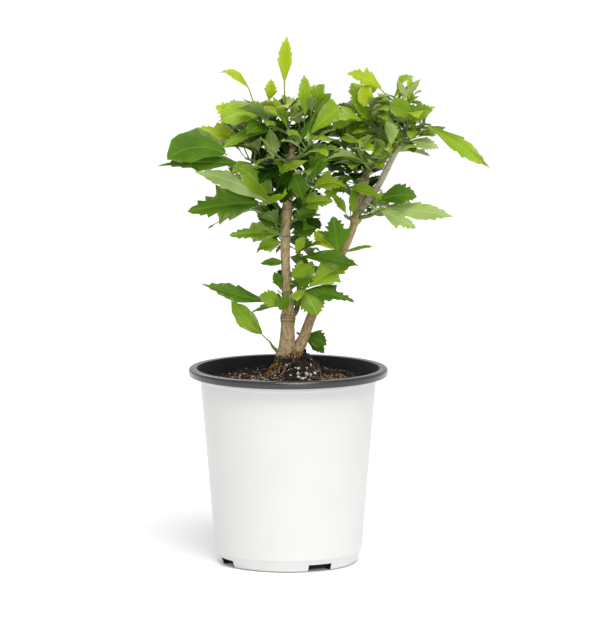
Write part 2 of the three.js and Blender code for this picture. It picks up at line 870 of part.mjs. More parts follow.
function leafTip(root, leaf) {
  const start = root.clone().addScaledVector(direction(leaf.heading, slopeAt(leaf, 0)), leaf.stalk);
  return midrib(start, leaf).at(-1);
}

// ---------------------------------------------------------------- masses

// Where a limb's axis passes a height, or the point above its tip.
function onLimb({ path }, height) {
  const points = new THREE.CatmullRomCurve3(path.map((p) => new THREE.Vector3(...p))).getPoints(AXIS_STEPS);
  const above = points.findIndex((point) => point.z >= height);
  if (above < 1) return new THREE.Vector3(points.at(-1).x, points.at(-1).y, height);
  const [low, high] = [points[above - 1], points[above]];
  return low.clone().lerp(high, (height - low.z) / (high.z - low.z));
}

// A green shoot leaves its parent sideways and then turns up to its end.
function shootCurve(from, to) {
  const turn = from.clone().lerp(to, BEND.across);
  turn.z = mix(from.z, to.z, BEND.up);
  return new THREE.QuadraticBezierCurve3(from, turn, to);
}

function shootSolid(curve, radius) {
  const bends = curve.getLength() > LONG_SHOOT ? 3 : 2;
  return prism(curve.getPoints(bends), radius * TAPER.root, radius * TAPER.tip);
}

const rootOf = (curve, along) => curve.getPoint(Math.min(along, LAST));

function kindOf(length) {
  if (length > BLADE_SIZES.lobed) return "lobed";
  return length > BLADE_SIZES.plain ? "plain" : "small";
}

// The angles and lengths of a leaf that points from its place on the shoot to its tip.
function aimedLeaf({ tip, along, droop, tilt, width, stalk }, curve) {
  const way = new THREE.Vector3(...tip).sub(rootOf(curve, along));
  const span = way.length();
  const length = stalk === undefined ? (span - STALK.least) / (1 + STALK.share) : span - stalk;
  const heading = Math.atan2(way.y, way.x) / RAD;
  const rise = Math.asin(way.z / span) / RAD;
  const face = new THREE.Vector3(0, -Math.sin(tilt * RAD), Math.cos(tilt * RAD));
  const level = direction(heading, rise + 90);
  const side = new THREE.Vector3().crossVectors(direction(heading, rise), level);
  const roll = Math.atan2(face.dot(side), face.dot(level)) / RAD;
  return { heading, rise, length, along, droop, roll, width, stalk: span - length, kind: kindOf(length) };
}

// The next leaf by rule: each stands a golden angle on from the last, and they shorten and rise to the end.
function ruledLeaf({ fill, turn, long }, index, random) {
  const along = mix(...RULE.along, index / (fill - 1));
  const length = long * mix(1, RULE.shorten, along) * mix(...RULE.length, random());
  const heading = turn + index * GOLDEN + mix(-RULE.heading, RULE.heading, random());
  const rise = mix(...RULE.rise, along) + mix(-RULE.lift, RULE.lift, random());
  const droop = mix(...RULE.droop, random());
  const roll = mix(-RULE.roll, RULE.roll, random());
  const width = mix(...RULE.width, random());
  const stalk = STALK.least + mix(...RULE.stalk, random()) * length;
  const kind = length > BLADE_SIZES.ruled ? "plain" : "small";
  return { heading, rise, length, along, droop, roll, width, stalk, kind };
}

// Degrees that a leaf may turn and lift to find a clear place.
const SET_MOVES = { turns: [0, 6, -6, 12, -12, 18, -18, 26, -26, 34, -34], lifts: [0, 7, -7, 14, -14] };
const FILL_MOVES = { turns: [0, 18, -18, 36, -36, 54, -54], lifts: [0, 20, -20] };

const touches = (solid, others) => others.some((other) => !solid.intersect(other).isEmpty());

// Sets out the shoots of a mass. cut is its limb, thickened by the clearance.
function sproutMass(mass, index, cut) {
  const stem = shootCurve(onLimb(LIMBS[mass.limb], mass.height), new THREE.Vector3(...mass.to));
  const shoots = mass.shoots.map((shoot, i) => {
    const curve = shootCurve(stem.getPoint(shoot.at), new THREE.Vector3(...shoot.to));
    return { ...shoot, curve, random: randomFrom(100 * (index + 1) + i) };
  });
  const tubes = shoots.map((shoot) => shootSolid(shoot.curve, SHOOT_RADIUS));
  const wood = tubes.reduce((sum, part) => sum.add(part), shootSolid(stem, STEM_RADIUS));
  return { ...mass, shoots, wood: wood.subtract(cut), leaves: [], guards: [] };
}

// Grows one leaf where it finds a clear place, turning it a little at a time, or leaves it out. Blades stay
// clear of everything, and only stalks may meet at the shoot.
function growLeaf(mass, shoot, leaf, { turns, lifts }, elsewhere, withinReach) {
  const root = rootOf(shoot.curve, leaf.along);
  const centre = new THREE.Vector3(...mass.to);
  const moves = lifts.flatMap((lift) => turns.map((turn) => [turn, lift]));
  for (const [turn, lift] of moves) {
    const turned = { ...leaf, heading: leaf.heading + turn, rise: leaf.rise + lift };
    if (withinReach && leafTip(root, turned).distanceTo(centre) > mass.reach) continue;
    const guard = leafSolid(root, turned, GAP, true);
    if (touches(guard, [mass.wood, ...mass.leaves])) continue;
    if (touches(leafSolid(root, turned), mass.guards)) continue;
    if (touches(leafSolid(root, turned, APART * GAP), elsewhere)) continue;
    mass.leaves.push(leafSolid(root, turned));
    mass.guards.push(guard);
    return;
  }
}

// The set leaves find their places first, the longest before the others.
function growMasses(cuts) {
  const masses = MASSES.map((mass, index) => sproutMass(mass, index, cuts[mass.limb]));
  const grow = (mass, shoot, leaf, moves, withinReach) => {
    const others = masses.filter((other) => other !== mass);
    const elsewhere = [...Object.values(cuts), ...others.flatMap((other) => [other.wood, ...other.leaves])];
    growLeaf(mass, shoot, leaf, moves, elsewhere, withinReach);
  };
  const places = masses.flatMap((mass) => mass.shoots.map((shoot) => ({ mass, shoot })));
  const set = places.flatMap(({ mass, shoot }) =>
    shoot.set.map((leaf) => ({ mass, shoot, leaf: aimedLeaf(leaf, shoot.curve) })),
  );
  set.sort((a, b) => b.leaf.length - a.leaf.length);
  for (const { mass, shoot, leaf } of set) grow(mass, shoot, leaf, SET_MOVES, false);
  for (const { mass, shoot } of places) {
    for (let i = 0; i < shoot.fill; i++) {
      grow(mass, shoot, ruledLeaf(shoot, i, shoot.random), FILL_MOVES, true);
    }
  }
  return masses;
}

// ---------------------------------------------------------------- the whole plant

const cuts = Object.fromEntries(Object.entries(LIMBS).map(([name, sizes]) => [name, limb(sizes, CUT)]));
const limbs = {
  main_stem: limb(MAIN_STEM),
  right_stem: limb(RIGHT_STEM).subtract(cuts.main_stem),
  right_leader: limb(RIGHT_LEADER).subtract(cuts.right_stem),
  right_bough: limb(RIGHT_BOUGH).subtract(cuts.right_stem),
  side_stem: limb(SIDE_STEM).subtract(cuts.main_stem),
};

const plant = new THREE.Group();
plant.add(meshOf(pot(), "pot", "pot"));
plant.add(meshOf(wrap(), "pot_wrap", "pot_wrap"));
const roots = [limb(MAIN_STEM, 2 * CUT), cuts.right_stem];
plant.add(meshOf(pottingMix(roots), "potting_mix", "potting_mix"));
plant.add(meshOf(limbs.main_stem, "main_stem", "bark"));
plant.add(meshOf(limbs.right_stem, "right_stem", "bark"));
plant.add(meshOf(limbs.right_leader, "right_leader", "bark"));
plant.add(meshOf(limbs.right_bough, "right_bough", "grey_bark"));
plant.add(meshOf(limbs.side_stem, "side_stem", "green_bark"));

const crown = new THREE.Group();
const YOUNG = ["foliage_top", "foliage_right_outer"];
for (const { name, wood, leaves } of growMasses(cuts)) {
  const solid = leaves.reduce((sum, leaf) => sum.add(leaf), wood);
  crown.add(meshOf(solid, name, YOUNG.includes(name) ? "young_foliage" : "foliage"));
}
plant.add(crown);

export default plant;
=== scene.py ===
# %% [markdown]
# # A potted rose of sharon
# A young shrub stands in a round nursery pot: two woody stems, soft green shoots, and toothed leaves
# that are lime at the tips of the crown and dark inside it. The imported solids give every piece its
# place and its reach. This lesson dresses them, from the pot up to the leaves.

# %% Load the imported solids
import math
import random

import bpy
import numpy as np
from mathutils import Matrix, Vector, noise
from mathutils.bvhtree import BVHTree


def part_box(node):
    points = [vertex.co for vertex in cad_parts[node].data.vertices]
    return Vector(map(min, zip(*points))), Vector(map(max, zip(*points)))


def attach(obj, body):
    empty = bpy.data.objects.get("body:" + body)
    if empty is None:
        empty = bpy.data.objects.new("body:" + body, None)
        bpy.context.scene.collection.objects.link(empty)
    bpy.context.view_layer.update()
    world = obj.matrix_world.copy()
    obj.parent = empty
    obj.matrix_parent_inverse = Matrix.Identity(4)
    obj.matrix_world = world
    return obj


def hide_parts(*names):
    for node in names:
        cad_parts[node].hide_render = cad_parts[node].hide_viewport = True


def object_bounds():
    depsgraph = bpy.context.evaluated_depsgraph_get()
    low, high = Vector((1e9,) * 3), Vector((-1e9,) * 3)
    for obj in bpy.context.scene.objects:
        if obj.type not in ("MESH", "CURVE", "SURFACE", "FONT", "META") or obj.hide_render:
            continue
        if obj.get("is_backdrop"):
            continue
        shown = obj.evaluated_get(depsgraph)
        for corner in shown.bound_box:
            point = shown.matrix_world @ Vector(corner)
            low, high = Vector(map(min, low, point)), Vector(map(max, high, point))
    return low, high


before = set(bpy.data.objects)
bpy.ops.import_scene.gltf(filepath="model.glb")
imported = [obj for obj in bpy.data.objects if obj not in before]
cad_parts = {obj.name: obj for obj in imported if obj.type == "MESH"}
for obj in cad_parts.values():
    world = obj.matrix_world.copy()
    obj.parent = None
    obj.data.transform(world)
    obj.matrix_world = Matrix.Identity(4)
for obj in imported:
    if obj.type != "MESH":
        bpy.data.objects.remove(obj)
cad_low, cad_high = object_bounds()
MM = 0.001
cad_size = (cad_high - cad_low) / MM
print("solids:", len(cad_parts), "box in mm:", [round(v) for v in cad_size])

# %% [markdown]
# ## Camera, light and floor
# A plant in a studio is lit by large soft lamps, so that leaves shade each other gently. One broad
# light above could do, but then the leaves that face away would go black. Here a bright room, a
# lamp in front and one behind add to it, and keep the colour in the shadows. The plain display
# transform keeps the greens as fresh as they are.

# %% The camera looks slightly down through a long lens
ELEVATION = math.radians(7.8)
DISTANCE = 4.5
AIM = Vector((9.7, 0, 204.1)) * MM
VIEW_HEIGHT = 523.7 * MM
SENSOR = 36.0
FAR = 100.0

back = Vector((0, -math.cos(ELEVATION), math.sin(ELEVATION)))
bpy.ops.object.camera_add(location=AIM + back * DISTANCE)
camera = bpy.context.object
camera.rotation_euler = back.to_track_quat("Z", "Y").to_euler()
camera.data.sensor_width = SENSOR
camera.data.lens = SENSOR * DISTANCE / VIEW_HEIGHT
camera.data.clip_end = FAR
bpy.context.scene.camera = camera
bpy.context.scene.view_settings.view_transform = "Standard"
print("lens in mm:", round(camera.data.lens))


# %% The lamps and the room
PLANT_MIDDLE = Vector((0, 0, 0.25))
SKY_WAY = Vector((0.17, -0.6, 1.0))
SKY_STRENGTH = 2.02
SKY_BREADTH = math.radians(38)
ROOM_STRENGTH = 0.52


def lamp(name, place, size, watts):
    """A square soft lamp that faces the middle of the plant."""
    bpy.ops.object.light_add(type="AREA", location=place)
    light = bpy.context.object
    light.name = name
    light.data.size = size
    light.data.energy = watts
    light.rotation_euler = (Vector(place) - PLANT_MIDDLE).to_track_quat("Z", "Y").to_euler()


lamp("key_lamp", place=(0.4, -1.9, 0.75), size=0.7, watts=7)
lamp("rim_lamp", place=(-0.4, 1.5, 1.5), size=1.1, watts=7)
bpy.ops.object.light_add(type="SUN", location=SKY_WAY)
skylight = bpy.context.object
skylight.name = "broad_overhead_light"
skylight.data.energy = SKY_STRENGTH
skylight.data.angle = SKY_BREADTH
skylight.rotation_euler = SKY_WAY.to_track_quat("Z", "Y").to_euler()
world = bpy.data.worlds.new("room")
world.use_nodes = True
room_light = world.node_tree.nodes["Background"].inputs
room_light["Color"].default_value = (1.0, 1.0, 1.0, 1)
room_light["Strength"].default_value = ROOM_STRENGTH
bpy.context.scene.world = world
lights = [thing.name for thing in bpy.context.scene.objects if thing.type == "LIGHT"]
print("lights:", ", ".join(lights))

# %% [markdown]
# ## Making materials
# A real surface is never one flat colour. Each finish below starts from one shader and adds noise,
# veins or grain to its colour and its bump. Wiring nodes by hand takes many clicks, so a small
# helper makes a node, sets its inputs and links them in one line.


# %% Node helpers
MIX_FACTOR = 0
MIX_COLOURS = (6, 7)
MIX_RESULT = 2


def new_material(name, roughness, specular=0.5):
    """A material, its node tree and its shader."""
    made = bpy.data.materials.new(name)
    made.use_nodes = True
    shader = made.node_tree.nodes["Principled BSDF"]
    shader.inputs["Roughness"].default_value = roughness
    shader.inputs["Specular IOR Level"].default_value = specular
    return made, made.node_tree, shader


def node(tree, kind, inputs=None, **settings):
    """One node with its settings. An input that is a socket is linked, any other is a value."""
    made = tree.nodes.new(kind)
    for key, value in settings.items():
        setattr(made, key, value)
    for key, value in (inputs or {}).items():
        if isinstance(value, bpy.types.NodeSocket):
            tree.links.new(value, made.inputs[key])
        else:
            made.inputs[key].default_value = value
    return made


def object_place(tree):
    """The place of each point on its object, in metres."""
    return node(tree, "ShaderNodeTexCoord").outputs["Object"]


def noise_at(tree, place, per_metre, detail=4.0, rough=0.55, distortion=0.0):
    """Noise whose lumps number per_metre in a metre, from 0 to 1."""
    values = {"Vector": place, "Scale": per_metre, "Detail": detail}
    values |= {"Roughness": rough, "Distortion": distortion}
    return node(tree, "ShaderNodeTexNoise", values).outputs["Fac"]


def ramp(tree, factor, stops):
    """Colours along a factor, as (place, colour) stops."""
    made = node(tree, "ShaderNodeValToRGB", {"Fac": factor})
    points = made.color_ramp.elements
    while len(points) < len(stops):
        points.new(0.5)
    for point, (place, colour) in zip(points, stops):
        point.position = place
        point.color = (*colour, 1)
    return made.outputs["Color"]


def blend(tree, factor, first, second):
    """Mixes two colours, each a socket or three numbers."""
    colours = [v if isinstance(v, bpy.types.NodeSocket) else (*v, 1) for v in (first, second)]
    inputs = {MIX_FACTOR: factor, **dict(zip(MIX_COLOURS, colours))}
    return node(tree, "ShaderNodeMix", inputs, data_type="RGBA").outputs[MIX_RESULT]


def maths(tree, operation, first, second=0.0, third=0.0):
    """One sum, with numbers or sockets."""
    values = {0: first, 1: second, 2: third}
    return node(tree, "ShaderNodeMath", values, operation=operation).outputs[0]


def bump(tree, shader, height, strength, depth):
    """Lights the surface as if height stood depth metres proud."""
    values = {"Height": height, "Strength": strength, "Distance": depth}
    tree.links.new(node(tree, "ShaderNodeBump", values).outputs["Normal"], shader.inputs["Normal"])


def colour_from(tree, shader, socket):
    """Takes the colour of a finish from a socket."""
    tree.links.new(socket, shader.inputs["Base Color"])


# %% The floor
FLOOR_SIZE = 60.0
FLOOR_DROP = 0.0002
FLOOR_GLOW = 0.08


def floor_finish():
    """Pale and matt. It glows faintly, as a light table does, and so stays white round the pot."""
    made, tree, shader = new_material("pale_floor", 0.9, 0.1)
    tint = noise_at(tree, object_place(tree), 0.8, 2.0)
    pale = ramp(tree, tint, [(0.3, (0.93, 0.93, 0.93)), (0.7, (0.95, 0.95, 0.95))])
    colour_from(tree, shader, pale)
    shader.inputs["Emission Color"].default_value = (1, 1, 1, 1)
    shader.inputs["Emission Strength"].default_value = FLOOR_GLOW
    return made


bpy.ops.mesh.primitive_plane_add(size=FLOOR_SIZE, location=(0, 0, -FLOOR_DROP))
floor = bpy.context.object
floor.name = "floor"
floor.data.materials.append(floor_finish())
floor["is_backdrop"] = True
print("floor:", FLOOR_SIZE, "m across")

# %% [markdown]
# ## Turning the pot
# A nursery pot is blown or moulded round an axis, so it is made like a bowl on a wheel: one ring of
# points is drawn up the outline, and widened or narrowed at each step. The Screw modifier could turn
# an outline too, but drawing a ring up shows how the wall, the rolled lip and the floor follow from
# each other. The drain notches are then cut with a box, as a knife would.

# %% Sizes of the pot, from its solid
pot_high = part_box("pot")[1]
POT_HEIGHT = pot_high.z / MM
RIM = pot_high.x / MM
LIP_DROP = 6.2
WALL = 1.3
POT_FLOOR = 1.8
FOOT_HEIGHT = 9.5
FOOT_RADIUS = 56.2
FOOT_TOP_RADIUS = 59.2
FOOT_BEVEL = 0.6
FOOT_RISE = 3
PIN_HOLE = 0.5
LOW_RADIUS = 60.6
HIGH_RADIUS = 72.6
COLLAR_BOTTOM = 151.5
COLLAR_RADIUS = 73.4
WRAP_TOP = 155.6
WRAP_BOTTOM = 0.6
FILM = 0.6
CLEAR = 0.3
RIM_BEAD = 2.2
SEAT = COLLAR_BOTTOM - 2
ROLL = 6.6
SIDES = 144
NOTCHES = {"count": 4, "first": 27.5, "width": 21, "height": 6, "inner": 44}
print("pot height and rim radius in mm:", round(POT_HEIGHT, 1), round(RIM, 1))


# %% A ring drawn along an outline
def only(piece):
    """Makes one object the only selected one."""
    bpy.ops.object.select_all(action="DESELECT")
    piece.select_set(True)
    bpy.context.view_layer.objects.active = piece


def turned(name, outline, sides=SIDES):
    """Extrudes a ring from each (radius, height) of a closed outline to the next, in mm."""
    radius, height = outline[0]
    bpy.ops.object.select_all(action="DESELECT")
    bpy.ops.mesh.primitive_circle_add(vertices=sides, radius=radius * MM, location=(0, 0, height * MM))
    piece = bpy.context.object
    piece.name = name
    bpy.ops.object.transform_apply(location=True)
    bpy.ops.object.mode_set(mode="EDIT")
    bpy.ops.mesh.select_all(action="SELECT")
    for next_radius, next_height in [*outline[1:], outline[0]]:
        step = (0, 0, (next_height - height) * MM)
        bpy.ops.mesh.extrude_region_move(TRANSFORM_OT_translate={"value": step})
        widen = next_radius / radius
        bpy.ops.transform.resize(value=(widen, widen, 1), center_override=(0, 0, next_height * MM))
        radius, height = next_radius, next_height
    bpy.ops.mesh.select_all(action="SELECT")
    bpy.ops.mesh.remove_doubles(threshold=1e-6)
    bpy.ops.mesh.normals_make_consistent(inside=False)
    bpy.ops.object.mode_set(mode="OBJECT")
    return piece


def arc(centre, radius, start, end, steps):
    """Points of an outline on an arc, in degrees from straight out."""
    turns = [math.radians(start + (end - start) * i / steps) for i in range(steps + 1)]
    return [(centre[0] + radius * math.cos(a), centre[1] + radius * math.sin(a)) for a in turns]


def cut_notches(piece):
    """Cuts the drain notches out of the foot with boxes."""
    reach = RIM - NOTCHES["inner"]
    for i in range(NOTCHES["count"]):
        angle = math.radians(NOTCHES["first"] + i * 360 / NOTCHES["count"])
        middle = Vector((0, -(NOTCHES["inner"] + reach / 2), 0)) * MM
        place = Matrix.Rotation(angle, 3, "Z") @ middle
        bpy.ops.mesh.primitive_cube_add(size=1, location=place, rotation=(0, 0, angle))
        box = bpy.context.object
        box.scale = (NOTCHES["width"] * MM, reach * MM, 2 * NOTCHES["height"] * MM)
        only(piece)
        cutter = piece.modifiers.new("notch", "BOOLEAN")
        cutter.operation = "DIFFERENCE"
        cutter.solver = "EXACT"
        cutter.object = box
        bpy.ops.object.modifier_apply(modifier=cutter.name)
        bpy.data.objects.remove(box)


def smooth(piece, degrees=35):
    """Smooth shading, with edges sharper than degrees kept crisp."""
    only(piece)
    bpy.ops.object.shade_smooth_by_angle(angle=math.radians(degrees))


def dress(piece, slot, finishes, *nodes):
    """Gives a finished piece its materials and place on the body, and hides the solids it stands for."""
    for made in finishes:
        piece.data.materials.append(made)
    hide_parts(*nodes)
    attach(piece, "root")
    print(piece.name, "faces:", len(piece.data.polygons))
    return piece


# %% [markdown]
# ## The black cup
# Black polypropylene has a satin skin: it is nearly black, yet its rolled rim and its inner wall
# catch soft highlights. A plain black would look like a hole, so there is dust on it and the gloss
# varies a little. One finish could serve, but the rolled rim is handled and rubbed, so it gets a
# glossier one than the wall. The rim's finish is also painted a lighter black, as painted light,
# and the wall's a darker black, as painted shade inside the pot.


# %% The finishes of the black plastic
def black_plastic(name, black, dusty, roughness, specular, coat):
    """Black plastic with a little dust, fine speckle and an even gloss."""
    made, tree, shader = new_material(name, roughness, specular)
    place = object_place(tree)
    dust = noise_at(tree, place, 90, 6.0, 0.65)
    colour_from(tree, shader, ramp(tree, dust, [(0.35, black), (0.75, dusty)]))
    worn = maths(tree, "MULTIPLY_ADD", noise_at(tree, place, 240, 3.0), 0.16, roughness - 0.08)
    tree.links.new(worn, shader.inputs["Roughness"])
    bump(tree, shader, noise_at(tree, place, 1400, 2.0), 0.12, 0.0002)
    shader.inputs["Coat Weight"].default_value = coat
    shader.inputs["Coat Roughness"].default_value = 0.12
    return made


# The wall's black is darker than the rim's: painted shade inside the pot.
wall_black_painted_shade = black_plastic(
    "dull_black_plastic_painted_shade", black=(0.003, 0.0032, 0.003), dusty=(0.009, 0.01, 0.009),
    roughness=0.6, specular=0.3, coat=0,
)
# The rim's black is lighter than the wall's: painted light on the rolled rim.
rim_black_painted_light = black_plastic(
    "satin_black_plastic_painted_light", black=(0.011, 0.013, 0.015), dusty=(0.02, 0.023, 0.026),
    roughness=0.3, specular=0.5, coat=0.7,
)
print("finishes of the pot:", wall_black_painted_shade.name, rim_black_painted_light.name)


# %% The cup with its rolled rim
def wall_radius(height, inset):
    """Radius of the cup's wall at a height, inset from the outside of the wrap."""
    share = (height - FOOT_HEIGHT) / (COLLAR_BOTTOM - FOOT_HEIGHT)
    return LOW_RADIUS + (HIGH_RADIUS - LOW_RADIUS) * share - inset


def cup_outline():
    """Up the outside of the cup, over its rolled rim, and down the inside."""
    inside = FILM + CLEAR
    bead = (RIM - RIM_BEAD, POT_HEIGHT - RIM_BEAD)
    inner = inside + WALL
    low = FOOT_HEIGHT + FOOT_RISE
    return [
        (PIN_HOLE, 0),
        (FOOT_RADIUS - CLEAR - inside - FOOT_BEVEL, 0),
        (FOOT_RADIUS - CLEAR - inside, FOOT_BEVEL),
        (wall_radius(low, inside + FOOT_BEVEL), low),
        (wall_radius(COLLAR_BOTTOM, inside), COLLAR_BOTTOM),
        (COLLAR_RADIUS - 0.7, WRAP_TOP + CLEAR),
        (RIM - 5.5, POT_HEIGHT - 2.8),
        (RIM - 2.4, POT_HEIGHT - LIP_DROP + 0.8),
        *arc((RIM - 1.1, POT_HEIGHT - LIP_DROP + 1.1), 1.1, 240, 360, 5),
        *arc(bead, RIM_BEAD, 0, 90, 8),
        (RIM - 5, POT_HEIGHT - 0.15),
        *arc((RIM - 6.4, POT_HEIGHT - 1.7), 1.5, 80, 170, 5),
        (wall_radius(SEAT, inner) + 0.9, SEAT + 3.4),
        (wall_radius(SEAT, inner) + 0.5, SEAT + 0.8),
        (wall_radius(SEAT, inner), SEAT),
        (wall_radius(low, inner + FOOT_BEVEL), low),
        (FOOT_RADIUS - CLEAR - inner, POT_FLOOR),
        (PIN_HOLE, POT_FLOOR),
    ]


# A pinhole is left on the axis, where the ring can't close.
cup = turned("black_cup", cup_outline())
cut_notches(cup)
smooth(cup)
dress(cup, "black_plastic", [wall_black_painted_shade, rim_black_painted_light], "pot")
# Faces out on the rolled rim take the lighter black of painted light, the rest the darker black of
# painted shade.
for face in cup.data.polygons:
    face.material_index = int(math.hypot(*face.center.xy) > (RIM - ROLL) * MM)

# %% [markdown]
# ## The white wrap
# The pot wears a sleeve of thin white film. It has a faint step where the collar begins and another
# above the foot. The sleeve is left plain. A white thing in a white room shows only by its shading,
# so the film gets a soft gloss and the slightest unevenness.


# %% The finish of the film
def white_film():
    """White film with a soft gloss, drawn out along the wall."""
    made, tree, shader = new_material("satin_white_film", 0.4, 0.45)
    place = object_place(tree)
    tint = noise_at(tree, place, 14, 3.0, 0.5)
    white = ramp(tree, tint, [(0.3, (0.69, 0.686, 0.67)), (0.75, (0.725, 0.722, 0.71))])
    colour_from(tree, shader, white)
    drawn_out = node(tree, "ShaderNodeMapping", {"Vector": place, "Scale": (1.0, 1.0, 0.25)}).outputs[0]
    bump(tree, shader, noise_at(tree, drawn_out, 60, 3.0, 0.5), 0.1, 0.0006)
    shader.inputs["Coat Weight"].default_value = 0.15
    return made


# %% The sleeve
def film_outline():
    """Up the outside of the film, and back down a film's thickness further in."""
    outside = [
        (FOOT_RADIUS, WRAP_BOTTOM),
        (FOOT_TOP_RADIUS, FOOT_HEIGHT - 0.4),
        (FOOT_TOP_RADIUS + 0.5, FOOT_HEIGHT + 0.1),
        (LOW_RADIUS, FOOT_HEIGHT + 0.8),
        (wall_radius(60, 0), 60),
        (wall_radius(110, 0), 110),
        (HIGH_RADIUS, COLLAR_BOTTOM),
        (COLLAR_RADIUS - 0.2, COLLAR_BOTTOM + 0.5),
        (COLLAR_RADIUS, COLLAR_BOTTOM + 0.9),
        (COLLAR_RADIUS + 0.3, WRAP_TOP),
    ]
    return [*outside, *[(r - FILM, z) for r, z in reversed(outside)]]


sleeve = turned("white_sleeve", film_outline())
cut_notches(sleeve)
smooth(sleeve)
dress(sleeve, "white_film", [white_film()], "pot_wrap")

# %% [markdown]
# ## Rolling up a grid
# A woody stem and the heaped potting mix are both closed skins that need thousands of small bumps.
# Extruding ring after ring is slow there. A flat grid is quicker: its one side is rolled round the
# axis, its other side runs along the outline, and the seam is welded. The grid also brings a UV
# map, so that grain can follow the limb.


# %% The rolled grid
SEAM = 0.4999


def rolled(name, sides, rows, place):
    """Rolls a grid into a closed skin. place(u, row) gives the point of each corner, in mm.

    The last column of the grid meets its first one at the seam.
    """
    bpy.ops.object.select_all(action="DESELECT")
    bpy.ops.mesh.primitive_grid_add(x_subdivisions=sides, y_subdivisions=rows, size=1)
    piece = bpy.context.object
    piece.name = name
    for vertex in piece.data.vertices:
        u = (vertex.co.x + 0.5) % 1.0 if vertex.co.x < SEAM else 0.0
        row = round((vertex.co.y + 0.5) * rows)
        vertex.co = Vector(place(u, row)) * MM
    bpy.ops.object.mode_set(mode="EDIT")
    bpy.ops.mesh.select_all(action="SELECT")
    bpy.ops.mesh.remove_doubles(threshold=2e-6)
    bpy.ops.mesh.dissolve_degenerate(threshold=1e-7)
    bpy.ops.mesh.normals_make_consistent(inside=False)
    bpy.ops.object.mode_set(mode="OBJECT")
    return piece


def mix(a, b, share):
    """The value a share of the way from a to b."""
    return a + (b - a) * share


# %% [markdown]
# ## The potting mix
# The mix is peat: almost black where it is damp, brown where it dries, heaped against the stems and
# scattered with white perlite. A flat disc with a bump would look painted, so the surface gets real
# lumps from layered noise, and the grains and bits of bark that lie on it are meshes of their own.

# %% Heights of the mix
SOIL_EDGE = 150.0
SOIL_SEAT = 156.0
MOUND = {"height": 19.0, "x": 9.0, "radius": 17.0}
SOIL_SLOPE = 2.2
LUMPS = {"height": 2.3, "per_mm": 0.16}
CRUMBS = {"height": 0.8, "per_mm": 0.9}
SOIL_RIM = wall_radius(SOIL_EDGE, FILM + 2 * CLEAR + WALL)


def soil_height(x, y):
    """Level near the wall, heaped against the stems, and lumpy all over."""
    from_wall = 1 - math.hypot(x, y) / SOIL_RIM
    from_mound = math.hypot(x - MOUND["x"], y) / MOUND["radius"]
    base = mix(SOIL_EDGE, SOIL_SEAT, min(1, SOIL_SLOPE * max(0, from_wall)))
    lumps = LUMPS["height"] * noise.fractal(Vector((x, y, 3)) * LUMPS["per_mm"], 0.9, 2.1, 5)
    crumbs = CRUMBS["height"] * noise.noise(Vector((x, y, 9)) * CRUMBS["per_mm"])
    return base + MOUND["height"] * math.exp(-from_mound**2) + lumps + crumbs


print("radius of the mix and height of its heap in mm:", round(SOIL_RIM, 1), MOUND["height"])


# %% The finish of the mix
def peat():
    """Almost black peat with drier patches, and crumbs in its bump."""
    made, tree, shader = new_material("damp_peat", 0.95, 0.25)
    place = object_place(tree)
    fine = noise_at(tree, place, 1100, 6.0, 0.7)
    broad = noise_at(tree, place, 70, 3.0)
    damp = ramp(tree, fine, [(0.36, (0.0025, 0.002, 0.002)), (0.62, (0.015, 0.01, 0.007))])
    dry = ramp(tree, fine, [(0.36, (0.008, 0.006, 0.004)), (0.66, (0.055, 0.036, 0.022))])
    patches = ramp(tree, broad, [(0.45, (0, 0, 0)), (0.62, (1, 1, 1))])
    colour_from(tree, shader, blend(tree, patches, damp, dry))
    bump(tree, shader, fine, 0.7, 0.0009)
    return made


# %% The heap
HEAP_SIDES = 200
TOP_ROWS = 78
WALL_ROWS = [(0.0, 2.1), (53.0, 2.1), (wall_radius(12.5, 2.8), 12.5), (SOIL_RIM, SOIL_EDGE - 1)]


def soil_place(u, row):
    """A corner of the heap: up the wall first, and then inwards over the top."""
    turn = 2 * math.pi * u
    if row < len(WALL_ROWS):
        radius, height = WALL_ROWS[row]
        return radius * math.cos(turn), radius * math.sin(turn), height
    share = (row - len(WALL_ROWS)) / (TOP_ROWS - 1)
    radius = SOIL_RIM * (1 - share)
    x, y = radius * math.cos(turn), radius * math.sin(turn)
    return x, y, soil_height(x, y)


heap = rolled("peat_heap", HEAP_SIDES, len(WALL_ROWS) + TOP_ROWS - 1, soil_place)
smooth(heap, 70)
dress(heap, "potting_mix", [peat()], "potting_mix")


# %% [markdown]
# ## Small things by the hundred
# Grains, fibres, shoots and leaves are too many to model one by one. Instancing would be light, but
# each object here has to be a plain mesh. So one basket gathers the corners and faces of many small
# shapes in lists, and turns them into a single joined mesh at the end.


# %% The basket
BOX_FACES = [(0, 1, 3, 2), (4, 6, 7, 5), (0, 4, 5, 1), (2, 3, 7, 6), (0, 2, 6, 4), (1, 5, 7, 3)]
GRAIN_HALF = 0.6
WHOLE_TURN = 6.3


class Basket:
    """Gathers the corners, faces, finishes and UV places of many small shapes."""

    def __init__(self):
        self.corners, self.faces, self.finishes, self.places = [], [], [], []

    def add(self, corners, faces, finish=0, places=None):
        """Adds one shape. Its finish is one number for all faces, or a number for each."""
        first = len(self.corners)
        self.corners.extend(tuple(c) for c in corners)
        self.faces.extend(tuple(first + i for i in face) for face in faces)
        finishes = [finish] * len(faces) if isinstance(finish, int) else finish
        self.finishes.extend(finishes)
        self.places.extend(places if places is not None else [(0.5, 0.5)] * len(corners))

    def mesh(self, name):
        """One object from all that was gathered, in metres."""
        data = bpy.data.meshes.new(name)
        data.from_pydata([(x * MM, y * MM, z * MM) for x, y, z in self.corners], [], self.faces)
        data.polygons.foreach_set("material_index", self.finishes)
        layer = data.uv_layers.new(name="UVMap")
        order = np.empty(len(data.loops), dtype=np.int32)
        data.loops.foreach_get("vertex_index", order)
        layer.data.foreach_set("uv", np.array(self.places, dtype=np.float32)[order].ravel())
        piece = bpy.data.objects.new(name, data)
        bpy.context.scene.collection.objects.link(piece)
        return piece


